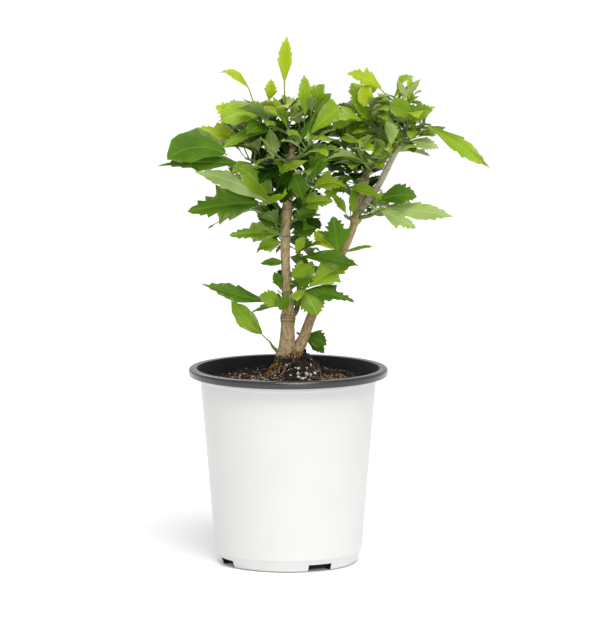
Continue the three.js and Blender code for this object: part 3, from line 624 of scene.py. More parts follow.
def tube(points, radii, sides):
    """Corners and faces of a closed tube along points."""
    points = [Vector(p) for p in points]
    corners, faces = [], []
    side = None
    for i, point in enumerate(points):
        along = (points[min(i + 1, len(points) - 1)] - points[max(i - 1, 0)]).normalized()
        if side is None:
            side = along.orthogonal().normalized()
        side = (side - along * side.dot(along)).normalized()
        other = along.cross(side)
        for j in range(sides):
            turn = 2 * math.pi * j / sides
            corners.append(point + (side * math.cos(turn) + other * math.sin(turn)) * radii[i])
    for i in range(len(points) - 1):
        for j in range(sides):
            k = (j + 1) % sides
            faces.append((i * sides + j, i * sides + k, (i + 1) * sides + k, (i + 1) * sides + j))
    last = (len(points) - 1) * sides
    faces.append(tuple(reversed(range(sides))))
    faces.append(tuple(range(last, last + sides)))
    return corners, faces


def pebble(centre, size, luck):
    """A small rough grain: an eight-cornered stone squeezed at random."""
    corners = []
    turn = luck.uniform(0, WHOLE_TURN)
    axis = Vector((luck.gauss(0, 1), luck.gauss(0, 1), 1)).normalized()
    spin = Matrix.Rotation(turn, 3, axis)
    for x in (-1, 1):
        for y in (-1, 1):
            for z in (-1, 1):
                across, deep, up = luck.uniform(0.5, 1), luck.uniform(0.4, 0.9), luck.uniform(0.3, 0.8)
                corner = Vector((x * across, y * deep, z * up))
                corners.append(Vector(centre) + spin @ corner * size * GRAIN_HALF)
    return corners, BOX_FACES


# %% Finishes of what lies on the mix
def plain_grain(name, light, dark, per_metre, roughness=0.9):
    """A rough natural finish between two colours."""
    made, tree, shader = new_material(name, roughness, 0.3)
    grain = noise_at(tree, object_place(tree), per_metre, 4.0, 0.6)
    colour_from(tree, shader, ramp(tree, grain, [(0.35, dark), (0.65, light)]))
    bump(tree, shader, grain, 0.4, 0.0003)
    return made


perlite = plain_grain("white_perlite", (0.82, 0.8, 0.75), (0.42, 0.38, 0.32), 900)
bark_bit = plain_grain("brown_bark_bit", (0.13, 0.08, 0.045), (0.018, 0.011, 0.008), 400)
black_bit = plain_grain("black_peat_bit", (0.03, 0.019, 0.013), (0.004, 0.003, 0.003), 700)
tan_fibre = plain_grain("tan_root_fibre", (0.6, 0.46, 0.3), (0.24, 0.16, 0.09), 260)
brown_fibre = plain_grain("brown_root_fibre", (0.22, 0.14, 0.08), (0.07, 0.04, 0.022), 260)
ochre_moss = plain_grain("ochre_moss", (0.36, 0.22, 0.035), (0.1, 0.05, 0.012), 500)
orange_flake = plain_grain("orange_bark_flake", (0.42, 0.2, 0.07), (0.12, 0.05, 0.02), 380)
GRAIN_FINISHES = [perlite, bark_bit, black_bit]
FIBRE_FINISHES = [tan_fibre, ochre_moss, orange_flake, black_bit, brown_fibre]
PERLITE, BARK_BIT, PEAT_BIT = range(3)
TAN_FIBRE, MOSS, FLAKE, CRUMB, BROWN_FIBRE = range(5)
print("finishes for grains and fibres:", len(GRAIN_FINISHES) + len(FIBRE_FINISHES) - 1)

# %% Grains and crumbs
GRAINS = 1500
SCATTER = 0.95
PERLITE_SHARE = 0.07
BARK_SHARE = 0.12
PERLITE_SIZES = (0.4, 1.5)
CRUMB_SIZES = (0.8, 3.2)
PERLITE_BY_STEMS = {"count": 26, "across": (11, 8), "deep": (-34, -8), "sizes": (0.7, 3.0)}
luck = random.Random(7)
grains = Basket()
for _ in range(GRAINS):
    radius = SOIL_RIM * math.sqrt(luck.random()) * SCATTER
    turn = luck.uniform(0, 2 * math.pi)
    x, y = radius * math.cos(turn), radius * math.sin(turn)
    kind = luck.random()
    finish = BARK_BIT if kind < PERLITE_SHARE + BARK_SHARE else PEAT_BIT
    finish = PERLITE if kind < PERLITE_SHARE else finish
    size = luck.uniform(*(PERLITE_SIZES if finish == PERLITE else CRUMB_SIZES))
    corners, faces = pebble((x, y, soil_height(x, y) + 0.25 * size), size, luck)
    grains.add(corners, faces, finish)
for _ in range(PERLITE_BY_STEMS["count"]):
    x, y = luck.gauss(*PERLITE_BY_STEMS["across"]), luck.uniform(*PERLITE_BY_STEMS["deep"])
    size = luck.uniform(*PERLITE_BY_STEMS["sizes"])
    corners, faces = pebble((x, y, soil_height(x, y) + 0.4), size, luck)
    grains.add(corners, faces, PERLITE)
grain_piece = grains.mesh("grains_and_crumbs")
dress(grain_piece, "potting_mix", GRAIN_FINISHES)

# %% [markdown]
# ## Root fibres
# Fine roots have worked up through the mix. They lie in loose curls, more of them at the left and at
# the right of the stems. Curves drawn by hand would all look alike after a dozen, so each is a thin
# tube that wanders from step to step and follows the ground.
# Ochre moss clothes the foot of the main stem, and flakes of orange bark peel where the stems meet.


# %% Fibres that wander over the mix
FIBRE_STEPS = 14
FIBRE_LENGTH = (14, 42)
FIBRE_PATCHES = [
    {"centre": (-34, -26), "spread": 14, "count": 34, "thick": 0.22},
    {"centre": (-38, -32), "spread": 10, "count": 12, "thick": 0.5},
    {"centre": (43, -28), "spread": 9, "count": 70, "thick": 0.24},
    {"centre": (0, 0), "spread": 38, "count": 30, "thick": 0.2},
]


def fibre(start, heading, length, radius, luck):
    """A thin tube that wanders over the surface of the mix."""
    x, y = start
    points, lift = [], 0.2
    for i in range(FIBRE_STEPS + 1):
        points.append((x, y, soil_height(x, y) + lift))
        heading += luck.uniform(-0.6, 0.6)
        lift = min(3.2, max(0.05, lift + luck.uniform(-0.9, 1.0)))
        x += length / FIBRE_STEPS * math.cos(heading)
        y += length / FIBRE_STEPS * math.sin(heading)
        if math.hypot(x, y) > SOIL_RIM - 1.5:
            heading += math.pi
            x, y = points[-1][0], points[-1][1]
    radii = [radius * mix(1, 0.5, i / FIBRE_STEPS) for i in range(FIBRE_STEPS + 1)]
    return tube(points, radii, 4)


fibres = Basket()
for patch in FIBRE_PATCHES:
    for _ in range(patch["count"]):
        start = [luck.gauss(middle, patch["spread"]) for middle in patch["centre"]]
        if math.hypot(*start) < SOIL_RIM - 4:
            radius = patch["thick"] * luck.uniform(0.7, 1.3)
            finish = luck.choice([TAN_FIBRE, TAN_FIBRE, BROWN_FIBRE])
            heading, length = luck.uniform(0, WHOLE_TURN), luck.uniform(*FIBRE_LENGTH)
            fibres.add(*fibre(start, heading, length, radius, luck), finish)
print("fibres on the mix, corners:", len(fibres.corners))

# %% Moss and flakes round the foot of the stems
MOSS_GRAINS = 520
FLAKES = 70
for _ in range(MOSS_GRAINS):
    turn = math.radians(luck.gauss(226, 15))
    out = luck.uniform(8, 21)
    x, y = -4 + out * math.cos(turn), out * math.sin(turn)
    climb = luck.uniform(0, 9) * max(0, 1 - (out - 8) / 9)
    corners, faces = pebble((x, y, soil_height(x, y) + climb), luck.uniform(0.5, 1.7), luck)
    fibres.add(corners, faces, luck.choice([MOSS, MOSS, MOSS, FLAKE, CRUMB, CRUMB]))
for _ in range(FLAKES):
    turn, out = luck.uniform(0, 2 * math.pi), luck.uniform(5, 9)
    x, y, low = 5 + out * math.cos(turn), out * math.sin(turn), luck.uniform(160, 171)
    path = [(x, y, low), (x * 0.96, y * 0.94, low + 4), (x * 0.9, y * 0.86, low + luck.uniform(6, 9))]
    fibres.add(*tube(path, [0.5, luck.uniform(0.5, 1.1), 0.2], 4), FLAKE)
fibre_piece = fibres.mesh("root_fibres")
dress(fibre_piece, "potting_mix", FIBRE_FINISHES)

# %% [markdown]
# ## The limbs
# Two stems rise from one crown. The left one is the older: it has a flared foot, rings where it was
# pruned, and swellings where shoots broke out. Every limb follows the same smooth path as its solid.
# A curve with a bevel could draw them, but bark needs relief, so each is a rolled grid instead.

# %% Paths and sizes of the limbs, in mm
# Knuckles and rings are (share of the length, mm above the bark). The flare is a share of the radius.
LIMBS = {
    "main_stem": {
        "path": [
            (-3.8, 0, 156.3), (-3.4, 0, 163), (-1.2, 0, 178), (-0.5, 0, 196), (-0.3, 0, 214),
            (-1.6, 0, 236), (-2.5, 0, 262), (-1.7, 0, 286), (0.8, 0, 316), (2.2, 0, 345),
        ],
        "radii": [12.5, 9.8, 7.2, 5.5, 4.6, 3.8, 3.7, 4.0, 3.9, 3.7],
        "knuckles": [(0.25, 1.0), (0.705, 0.9), (0.96, 0.6)],
        "rings": [
            (0.262, 0.55), (0.248, 0.5), (0.235, 0.3), (0.362, 0.4),
            (0.52, 0.35), (0.611, 0.4), (0.73, 0.4),
        ],
        "flare": 0.22,
    },
    "right_stem": {
        "path": [
            (3, 2, 166), (12, 2, 185), (20, 3, 206), (28.5, 4, 222), (39, 5, 245),
            (50, 6, 268), (57, 6, 290), (61, 6, 308), (64, 6, 323),
        ],
        "radii": [5.4, 4.6, 3.9, 3.7, 3.2, 3.0, 3.1, 3.1, 3.0],
        "knuckles": [(0.77, 1.3), (0.97, 0.9)],
        "rings": [(0.36, 0.3), (0.77, 0.35)],
        "flare": 0,
    },
    "right_leader": {
        "path": [(63.5, 6, 320), (68, 5, 331), (71.5, 4, 341), (74, 4, 350)],
        "radii": [2.3, 2.1, 1.9, 1.8],
        "knuckles": [],
        "rings": [],
        "flare": 0,
    },
    "right_bough": {
        "path": [(57, 6, 289), (65, 3, 300), (74, 0, 313), (85, -2, 335), (91.5, -3, 347)],
        "radii": [3.1, 2.9, 2.6, 2.5, 2.2],
        "knuckles": [],
        "rings": [],
        "flare": 0,
    },
    "side_stem": {
        "path": [(1, 1, 202), (6.6, 3.2, 209), (8.6, 4.6, 222), (8.4, 5.4, 240), (8, 5.6, 256)],
        "radii": [2.4, 2.2, 2.0, 1.8, 1.7],
        "knuckles": [],
        "rings": [],
        "flare": 0,
    },
}


# %% A smooth curve through points
def curve_point(path, t):
    """A centripetal Catmull-Rom curve through the path, at a share t of its spans."""
    points = [np.array(p, float) for p in path]
    spans = len(points) - 1
    i = min(int(t * spans), spans - 1)
    share = t * spans - i
    p1, p2 = points[i], points[i + 1]
    p0 = points[i - 1] if i > 0 else 2 * p1 - p2
    p3 = points[i + 2] if i + 2 <= spans else 2 * p2 - p1
    d0, d1, d2 = (np.linalg.norm(b - a) ** 0.5 for a, b in ((p0, p1), (p1, p2), (p2, p3)))
    out = ((p1 - p0) / d0 - (p2 - p0) / (d0 + d1) + (p2 - p1) / d1) * d1
    into = ((p2 - p1) / d1 - (p3 - p1) / (d1 + d2) + (p3 - p2) / d2) * d1
    bend = -3 * p1 + 3 * p2 - 2 * out - into
    twist = 2 * p1 - 2 * p2 + out + into
    return p1 + out * share + bend * share**2 + twist * share**3


AXIS_STEPS = 200
AXES = {
    name: np.array([curve_point(sizes["path"], i / AXIS_STEPS) for i in range(AXIS_STEPS + 1)])
    for name, sizes in LIMBS.items()
}
print("limbs:", ", ".join(AXES))


# %% [markdown]
# ## Bark
# Young bark is tan and finely furrowed along the limb, with darker flecks where leaves have dropped
# and a stain of soil at the foot. Old rings run round the main stem, where its growth stopped each
# winter and where twigs were taken off. The furrows run with the grain, so the colour reads the
# grid's own UV map, stretched along the limb.


# %% The finish of the bark
AROUND = 9
FLECKS_PER_METRE = 320.0
SOILED_TO = 0.192
SOIL_RAGGED = 0.03
SOIL_FADE = 180.0
RING_WAVER = 0.003
RING_FADE = 450.0
RING_DARK = 0.62


def near_rings(tree, height, rings):
    """How dark an old ring is at a height: it fades out over a millimetre or so."""
    nearest = 1.0
    for ring in rings:
        off = maths(tree, "ABSOLUTE", maths(tree, "SUBTRACT", height, ring * MM))
        nearest = maths(tree, "MINIMUM", nearest, off)
    return maths(tree, "MULTIPLY_ADD", nearest, -RING_FADE, RING_DARK)


def bark_finish(name, light, dark, stain, length, rings=()):
    """Bark furrowed along a limb of a length in mm, stained, flecked, and soiled low down."""
    made, tree, shader = new_material(name, 0.82, 0.3)
    own = node(tree, "ShaderNodeUVMap", uv_map="UVMap").outputs[0]
    stretch = {"Vector": own, "Scale": (AROUND, length / AROUND, 1)}
    grain = noise_at(tree, node(tree, "ShaderNodeMapping", stretch).outputs[0], 1.6, 6.0, 0.65, 0.3)
    place = object_place(tree)
    patch = noise_at(tree, place, 55, 4.0, 0.6)
    wood = blend(tree, ramp(tree, grain, [(0.36, (0, 0, 0)), (0.6, (1, 1, 1))]), dark, light)
    wood = blend(tree, ramp(tree, patch, [(0.5, (0, 0, 0)), (0.72, (0.7, 0.7, 0.7))]), wood, stain)
    cells = node(tree, "ShaderNodeTexVoronoi", {"Vector": place, "Scale": FLECKS_PER_METRE})
    fleck = ramp(tree, cells.outputs["Distance"], [(0.13, (1, 1, 1)), (0.2, (0, 0, 0))])
    wood = blend(tree, fleck, wood, tuple(v * 0.45 for v in dark))
    height = node(tree, "ShaderNodeSeparateXYZ", {0: place}).outputs[2]
    if rings:
        wavy = maths(tree, "MULTIPLY_ADD", noise_at(tree, place, 150, 3.0), RING_WAVER, height)
        wood = blend(tree, near_rings(tree, wavy, rings), wood, tuple(v * 0.4 for v in dark))
    ragged = maths(tree, "MULTIPLY_ADD", noise_at(tree, place, 260, 5.0, 0.7), SOIL_RAGGED, height)
    soiled = maths(tree, "MULTIPLY", maths(tree, "SUBTRACT", SOILED_TO, ragged), SOIL_FADE)
    soiled = node(tree, "ShaderNodeClamp", {0: soiled}).outputs[0]
    wood = blend(tree, soiled, wood, (0.022, 0.012, 0.007))
    colour_from(tree, shader, wood)
    bump(tree, shader, grain, 0.55, 0.0008)
    return made


def cut_wood():
    """The pale face of a pruned stub, browned by weather."""
    return plain_grain("weathered_cut_wood", (0.44, 0.25, 0.13), (0.2, 0.1, 0.05), 900, 0.85)


# %% [markdown]
# ## Where the masses grow
# The crown is a set of masses. In each, one green stem leaves its limb at a height and branches into
# shoots, and every shoot carries leaves. Leaves that stand out are aimed at the place of their tip,
# and the rest follow a rule, as in the solids: each stands a golden angle on from the last. The
# colour of a spray belongs to its place, so each shoot and each leaf that stands out names its tone.
# A tone is partly the leaves' own colour and partly painted light and shade: lighter tones on the
# lit top of the crown, darker ones inside it.


# %% Ways to write a mass down
def leaf(tip, along, tone, droop=10, tilt=50, width=1.0, stalk=None, outline=None, root=None):
    """A leaf that stands out. It springs at a share along its shoot, or at a root of its own.

    Its face is tilted towards the front, in degrees from level.
    """
    names = ("tip", "along", "tone", "droop", "tilt", "width", "stalk", "outline", "root")
    return dict(zip(names, (tip, along, tone, droop, tilt, width, stalk, outline, root)))


def shoot(to, tone, fill=0, turn=0, long=0, at=0.97, leaves=()):
    """A shoot that leaves the stem at a share of it, with a fill of leaves of the rule.

    The turn is the heading of the first of these, and each is up to long mm in length.
    """
    names = ("to", "tone", "fill", "turn", "long", "at", "leaves")
    return dict(zip(names, (to, tone, fill, turn, long, at, leaves)))


def mass(name, limb, height, to, reach, *shoots):
    """A mass whose stem leaves a limb at a height. Its leaves reach so far from the stem's end."""
    return {"name": name, "limb": limb, "height": height, "to": to, "reach": reach, "shoots": shoots}


# %% The crown of the main stem, from the top down
CROWN = [
    mass(
        "foliage_top", "main_stem", 345.2, (1, 2, 356), 62,
        shoot((-3, 3, 388), "lime", 7, 60, 32, leaves=[
            leaf((-1, 1, 437), 1, "lime", tilt=70, width=0.56, stalk=12),
            leaf((-13, -6, 388), 0, "fresh", width=0.5),
            leaf(
                (-14, -5, 402), 0, "lime", droop=-40, tilt=60, width=0.95,
                root=(-16, 0, 383), stalk=2,
            ),
        ]),
        shoot((-25, 0, 373), "fresh", 6, 120, 34, leaves=[
            leaf((-58, -4, 407), 1, "lime", droop=75, tilt=35, width=0.48, stalk=19),
            leaf(
                (-60, -2, 379), 0, "lime", tilt=70, width=1.25,
                outline="lobed", root=(-33, -4, 366), stalk=1,
            ),
            leaf((-55, -10, 367), 0.9, "fresh", droop=60, tilt=65, outline="whole", stalk=2),
            leaf((-54, -16, 346), 0.3, "mid", droop=30, tilt=40, width=0.55),
            leaf((-12, -20, 338), 0.6, "mid", droop=20, tilt=-110, width=0.85, stalk=6),
        ]),
        shoot((23, -2, 374), "fresh", 7, 80, 36, at=0.6, leaves=[
            leaf((42, -12, 379), 0, "fresh", droop=20, tilt=75, outline="wedge", root=(14, -8, 351)),
            leaf((13, 2, 405), 0.5, "fresh", droop=50, tilt=60, width=0.6, stalk=12),
            leaf((12, -16, 352), 0, "fresh", tilt=20, width=0.5, root=(42, -8, 352), stalk=1),
            leaf(
                (61, -16, 348), 0, "fresh", droop=50, tilt=30, width=0.7,
                root=(40, -10, 352), stalk=1,
            ),
            leaf((30, -6, 398), 1, "fresh", droop=50),
            leaf((36, -5, 390), 0.8, "mid", droop=20),
            leaf((22, -16, 372), 0, "dark", tilt=75, width=0.4, root=(7, -12, 347), stalk=2),
            # A leaf of the deep tone is painted shade inside the crown.
            leaf((-28, 5, 361), 0, "deep", tilt=75, width=1.2, root=(-6, 3, 347), stalk=3),
            leaf((-15, 4, 370), 0, "deep", tilt=75, width=1.1, root=(-4, 3, 348), stalk=2),
        ]),
    ),
    mass(
        "foliage_left", "main_stem", 325, (-20, -5, 333), 72,
        shoot((-35, -9, 337), "mid", 4, 250, 44, leaves=[
            leaf(
                (-99, -22, 337), 0, "dark", droop=72, tilt=60, width=0.9,
                stalk=2, outline="whole", root=(-50, -14, 340),
            ),
            leaf(
                (-108, -16, 331), 0, "dark", tilt=45, width=0.5,
                stalk=3, outline="lobed", root=(-38, -14, 333),
            ),
            leaf((-46, -24, 327), 0.3, "mid", tilt=60, width=0.9),
        ]),
        shoot((-33, 4, 350), "fresh", 7, 150, 40, at=0.7, leaves=[
            leaf((-78, 10, 358), 0.9, "lime", droop=20, width=0.8),
        ]),
    ),
    mass(
        "foliage_left_low", "main_stem", 306, (-13, -5, 302), 76,
        shoot((-20, -8, 300), "mid", 4, 160, 42, leaves=[
            leaf(
                (-77, -30, 328), 0, "mid", droop=30, tilt=-110, width=0.42,
                stalk=2, root=(-15, -18, 301),
            ),
            leaf(
                (-41, -21, 331), 0, "mid", droop=45, tilt=74, width=0.88,
                stalk=1, outline="whole", root=(-16, -15, 302),
            ),
            leaf((-83, -10, 293), 1, "dark", tilt=65, width=0.85, stalk=4),
            leaf((-67, 2, 277), 1, "mid", tilt=15, width=0.4, stalk=28),
        ]),
    ),
    mass(
        "foliage_middle", "main_stem", 312, (11, -7, 314), 56,
        shoot((25, -9, 330), "mid", 6, 300, 36, leaves=[
            leaf(
                (48, -18, 314), 0, "fresh", droop=70, tilt=55, width=0.9,
                root=(18, -12, 310), stalk=2,
            ),
            leaf((31, -22, 351), 0, "dark", tilt=80, width=0.8, root=(20, -14, 318), stalk=2),
            leaf(
                (-12, -20, 322), 1, "fresh", droop=25, tilt=40, width=0.6,
                root=(17, -16, 336), stalk=2,
            ),
            leaf((75, -22, 335), 1, "mid", tilt=25, width=0.45, root=(27, -20, 337), stalk=1),
            leaf((-22, -18, 299), 0, "fresh", droop=15, tilt=60, width=0.6),
            leaf((20, -10, 315), 0, "mid", tilt=55, width=0.6, root=(3, -6, 303), stalk=2),
            # A leaf of the deep tone is painted shade inside the crown.
            leaf((-9, -14, 314), 0, "deep", tilt=75, width=1.1, root=(4, -9, 337), stalk=1),
            leaf((-6, -13, 300), 0, "deep", tilt=75, width=1.2, root=(3, -7, 322), stalk=2),
            leaf((12, -11, 303), 0, "dark", tilt=75, width=1.1, root=(2, -6, 329), stalk=2),
        ]),
        shoot((20, 8, 338), "dark", 7, 20, 40, at=0.5),
    ),
    mass(
        "foliage_crown_back", "main_stem", 336, (-5, 18, 345), 74,
        shoot((-26, 38, 360), "mid", 8, 120, 42),
        shoot((10, 44, 366), "mid", 8, 60, 42),
        shoot((-4, 26, 382), "fresh", 6, 200, 34),
    ),
    mass(
        "foliage_front", "main_stem", 327, (0, -16, 335), 58,
        shoot((-14, -36, 347), "mid", 6, 240, 38),
        shoot((17, -40, 351), "fresh", 6, 300, 38),
    ),
    mass(
        "foliage_left_back", "main_stem", 318, (-16, 18, 324), 70,
        shoot((-28, 30, 332), "dark", 7, 140, 48),
        shoot((-34, 12, 322), "mid", 5, 200, 40, at=0.7),
    ),
]
print("masses in the crown:", len(CROWN))

# %% The foliage low on the main stem
LOW_ON_MAIN = [
    mass(
        "foliage_mid_left", "main_stem", 272, (-8, -3, 274), 44,
        shoot((-10, -4, 281), "dark", 3, 260, 28, leaves=[
            leaf(
                (-49, -8, 273), 0, "mid", tilt=60, width=0.68,
                outline="lobed", root=(-5, -3, 274), stalk=2,
            ),
            leaf((-26, 0, 288), 0.5, "dark", tilt=65, width=1.15, root=(-5, -1, 280), stalk=2),
            leaf((-25, -4, 262), 0, "mid", tilt=65, width=1.15, root=(-5, -2, 267), stalk=1),
            leaf(
                (-23, -3, 249), 0, "dark", tilt=60, width=0.6,
                outline="whole", root=(-3, -3, 250), stalk=1,
            ),
        ]),
    ),
    mass(
        "foliage_mid_right", "main_stem", 283, (6, -4, 284), 40,
        shoot((9, -5, 290), "dark", 3, 300, 26, leaves=[
            leaf((24, -9, 293), 0, "dark", tilt=65, width=1.3, root=(2, -4, 288), stalk=2),
            leaf((25, -12, 280), 0.5, "dark", tilt=65, width=1.1, root=(1, -4, 274), stalk=2),
            leaf((37, -4, 301), 0, "fresh", droop=20, tilt=60, width=0.95, root=(3, -3, 296), stalk=3),
        ]),
    ),
    mass(
        "foliage_mid_back", "main_stem", 262, (-4, 11, 266), 46,
        shoot((-6, 18, 273), "mid", 7, 110, 36, leaves=[
            leaf((20, 7, 263), 0, "dark", tilt=70, width=1.1, root=(0, 5, 266), stalk=2),
            leaf((17, 8, 247), 0, "dark", tilt=70, width=1.1, root=(0, 5, 254), stalk=2),
        ]),
    ),
    mass(
        "foliage_low_front", "main_stem", 222, (-3, -6, 223), 30,
        shoot((-4, -7, 226), "dark", leaves=[
            leaf((-12, -10, 243), 0.4, "dark", tilt=70),
            leaf((-7, -11, 211), 0, "dark", droop=20, tilt=65, width=1.5, root=(1, -6, 224), stalk=1),
            leaf((20, -13, 248), 1, "mid", tilt=60, width=0.95, root=(1, -7, 237), stalk=2),
            leaf((21, -15, 239), 1, "dark", tilt=60, width=0.7, root=(8, -8, 228), stalk=2),
        ]),
    ),
    mass(
        "foliage_low_left", "main_stem", 215, (-8, -1, 216), 64,
        shoot((-12, -2, 218), "fresh", leaves=[
            leaf((-73, -6, 233), 0.1, "dark", droop=-15, tilt=35, width=0.5, stalk=4),
            leaf((-25, -8, 222), 0, "mid", droop=20, tilt=65, width=1.15, root=(-4, -4, 215), stalk=1),
        ]),
    ),
    mass(
        "foliage_low_back", "main_stem", 211, (-2, 11, 214), 40,
        shoot((-3, 16, 219), "dark", 5, 80, 32),
    ),
    mass(
        "foliage_foot_left", "main_stem", 172, (-11, -3, 178), 60,
        shoot((-15, -4, 184), "fresh", leaves=[
            leaf((-47, -8, 219), 1, "mid", droop=-10, tilt=92, width=0.64, outline="whole"),
        ]),
    ),
]
print("masses low on the main stem:", len(LOW_ON_MAIN))

# %% The crown of the right stem
RIGHT_CROWN = [
    mass(
        "foliage_right_top", "right_leader", 350.6, (74, 3, 360), 58,
        shoot((60, 0, 376), "fresh", 8, 150, 34, leaves=[
            leaf((53, -8, 382), 0, "mid", droop=20, width=0.8),
            leaf((35, -4, 359), 0.5, "fresh", droop=45, tilt=40, width=0.7),
            leaf((51, -5, 397), 0.6, "mid", width=0.9),
        ]),
        shoot((86, 0, 384), "fresh", 6, 200, 34, leaves=[
            leaf((48, -4, 406), 1, "lime", droop=40, width=0.9, stalk=14),
            leaf((91, -8, 344), 0, "fresh", tilt=40, width=0.7),
            leaf(
                (62, -9, 379), 1, "lime", droop=30, tilt=80,
                outline="whole", root=(67, -4, 399), stalk=1,
            ),
            leaf(
                (81, -14, 380), 0, "mid", droop=70, tilt=55, width=1.1,
                stalk=1, outline="whole", root=(101, -9, 367),
            ),
            leaf((52, -16, 358), 0, "fresh", tilt=30, width=0.6),
        ]),
    ),
    mass(
        "foliage_right_inner", "right_stem", 315, (52, 3, 332), 52,
        shoot((44, 2, 350), "fresh", 7, 170, 38),
        shoot((56, -8, 342), "mid", 5, 250, 36, at=0.6, leaves=[
            leaf((53, -9, 291), 0, "mid", tilt=60, width=0.6, stalk=12),
            leaf(
                (76, -16, 305), 0, "fresh", droop=30, tilt=40, width=0.7,
                root=(47, -12, 313), stalk=2,
            ),
        ]),
    ),
    mass(
        "foliage_right_outer", "right_bough", 347.6, (97, -3, 358), 50,
        shoot((98, -4, 384), "fresh", 5, 300, 26, leaves=[
            leaf((90, -6, 401), 0, "fresh", tilt=-110, width=0.6, root=(97, -4, 385), stalk=1),
            leaf((109, -6, 402), 0, "fresh", tilt=-110, width=0.5, root=(92, -4, 383), stalk=1),
            leaf((101, -3, 405), 0, "lime", tilt=60, width=0.7, root=(99, -3, 388), stalk=4),
        ]),
        shoot((112, -5, 366), "fresh", 4, 90, 26, leaves=[
            leaf((166, -10, 329), 1, "fresh", tilt=106, width=0.4, stalk=4),
            leaf((119, -6, 376), 0, "mid", droop=80, tilt=65),
        ]),
        shoot((103, -8, 354), "mid", 3, 200, 26, at=0.4, leaves=[
            leaf((120, -10, 361), 0, "mid", tilt=30, width=0.6),
            leaf((124, -10, 345), 0, "fresh", droop=25, tilt=-110, width=0.7),
        ]),
    ),
    mass(
        "foliage_right_back", "right_stem", 309, (64, 22, 326), 60,
        shoot((54, 36, 348), "mid", 8, 120, 40),
        shoot((84, 32, 350), "mid", 8, 60, 40),
    ),
    mass(
        "foliage_right_front", "right_stem", 316.5, (67, -10, 329), 54,
        shoot((58, -32, 345), "fresh", 6, 250, 36),
        shoot((84, -34, 343), "fresh", 6, 310, 36),
    ),
]
print("masses in the right crown:", len(RIGHT_CROWN))

# %% The foliage low on the right stem, and on the side stem
LOW_ON_RIGHT = [
    mass(
        "foliage_right_side", "right_stem", 286, (68, -4, 289), 60,
        shoot((77, -6, 295), "fresh", 3, 280, 28, leaves=[
            leaf((106, -10, 305), 1, "dark", droop=35, tilt=60, width=1.1, root=(75, -7, 302), stalk=2),
            leaf((136, -14, 289), 1, "fresh", droop=15, tilt=-110, width=0.46, stalk=3),
            leaf((105, -17, 280), 0, "fresh", tilt=-110, width=0.8, root=(75, -8, 294), stalk=2),
        ]),
    ),
    mass(
        "foliage_right_mid", "right_stem", 285.5, (50, 2, 286), 40,
        shoot((46, 1, 289), "fresh", 3, 230, 24, leaves=[leaf((36, -2, 307), 0, "mid", width=0.7)]),
    ),
    mass(
        "foliage_right_mid_back", "right_stem", 278, (55, 17, 282), 52,
        shoot((57, 26, 290), "mid", 6, 90, 38),
    ),
    mass(
        "foliage_right_low", "right_stem", 251, (42, -2, 253), 34,
        shoot((41, -5, 257), "mid", leaves=[
            leaf((37, -9, 289), 1, "dark", tilt=70, width=1.35, outline="lobed", stalk=2),
            leaf((70, -2, 263), 1, "mid", tilt=20, width=0.6),
            leaf((21, 2, 275), 1, "lime", tilt=70, width=1.1),
        ]),
    ),
    mass(
        "foliage_side_tip", "side_stem", 256.6, (10, 4, 263), 44,
        shoot((12, 3, 268), "dark", 3, 60, 28, leaves=[
            leaf(
                (59, -14, 248), 0, "dark", tilt=45, width=0.5,
                stalk=2, outline="whole", root=(10, 0, 255),
            ),
            leaf((14, -6, 273), 0, "fresh", tilt=70, width=0.8, root=(6, 2, 257), stalk=1),
            leaf((29, -8, 268), 0, "mid", tilt=30, width=0.45, root=(9, 3, 258), stalk=2),
            leaf((11, -10, 253), 0, "mid", tilt=70, width=1.05, root=(9, -2, 229), stalk=1),
        ]),
    ),
    mass(
        "foliage_side_low", "side_stem", 226, (12, -2, 227), 46,
        shoot((16, -4, 231), "mid", 3, 300, 24, leaves=[
            leaf(
                (55, -6, 252), 0.5, "fresh", droop=15, tilt=70, width=0.85,
                root=(16, -3, 229), stalk=2,
            ),
            leaf((55, -14, 218), 0, "dark", droop=15, tilt=40, width=0.7, stalk=3),
            leaf((20, 0, 251), 0, "fresh", tilt=60),
            leaf((24, -14, 207), 0, "mid", droop=20, tilt=50, width=1.5, stalk=2),
        ]),
    ),
    mass(
        "foliage_foot_right", "right_stem", 183, (13, 11, 187), 34,
        shoot((7, 15, 189), "dark", leaves=[
            leaf((32, 11, 179), 1, "dark", droop=15, width=1.3),
            leaf((30, 16, 171), 1, "dark", droop=30),
        ]),
    ),
]
MASSES = CROWN + LOW_ON_MAIN + RIGHT_CROWN + LOW_ON_RIGHT
print("masses in all:", len(MASSES))


# %% The limbs get their bark
BARK_ROW = 0.9
CAP_ROWS = 4
KNUCKLE = 0.022
RING = 0.004
SCAR = 0.012
SCAR_RISE = 0.09
FLARE = 0.12
FLARE_RIBS = 3
GNARLS = {"around": 2.2, "along": 0.07, "height": 0.9}
FURROWS = {"around": 7, "along": 0.16, "depth": 0.4}
ROUGH = 0.6
ROUGHER_FOOT = 3.9


def shares_of_shoots(name):
    """How far along a limb its masses break out, as shares of its length."""
    axis = AXES[name]
    low, high = axis[0][2], axis[-1][2]
    heights = [m["height"] for m in MASSES if m["limb"] == name]
    return [(h - low) / (high - low) for h in heights if h < high]


def on_bark(turn, along, scale):
    """A place on the bark in the space of its noise, where going round comes back to the start."""
    around = scale["around"]
    return Vector((math.cos(turn) * around, math.sin(turn) * around, along * scale["along"]))


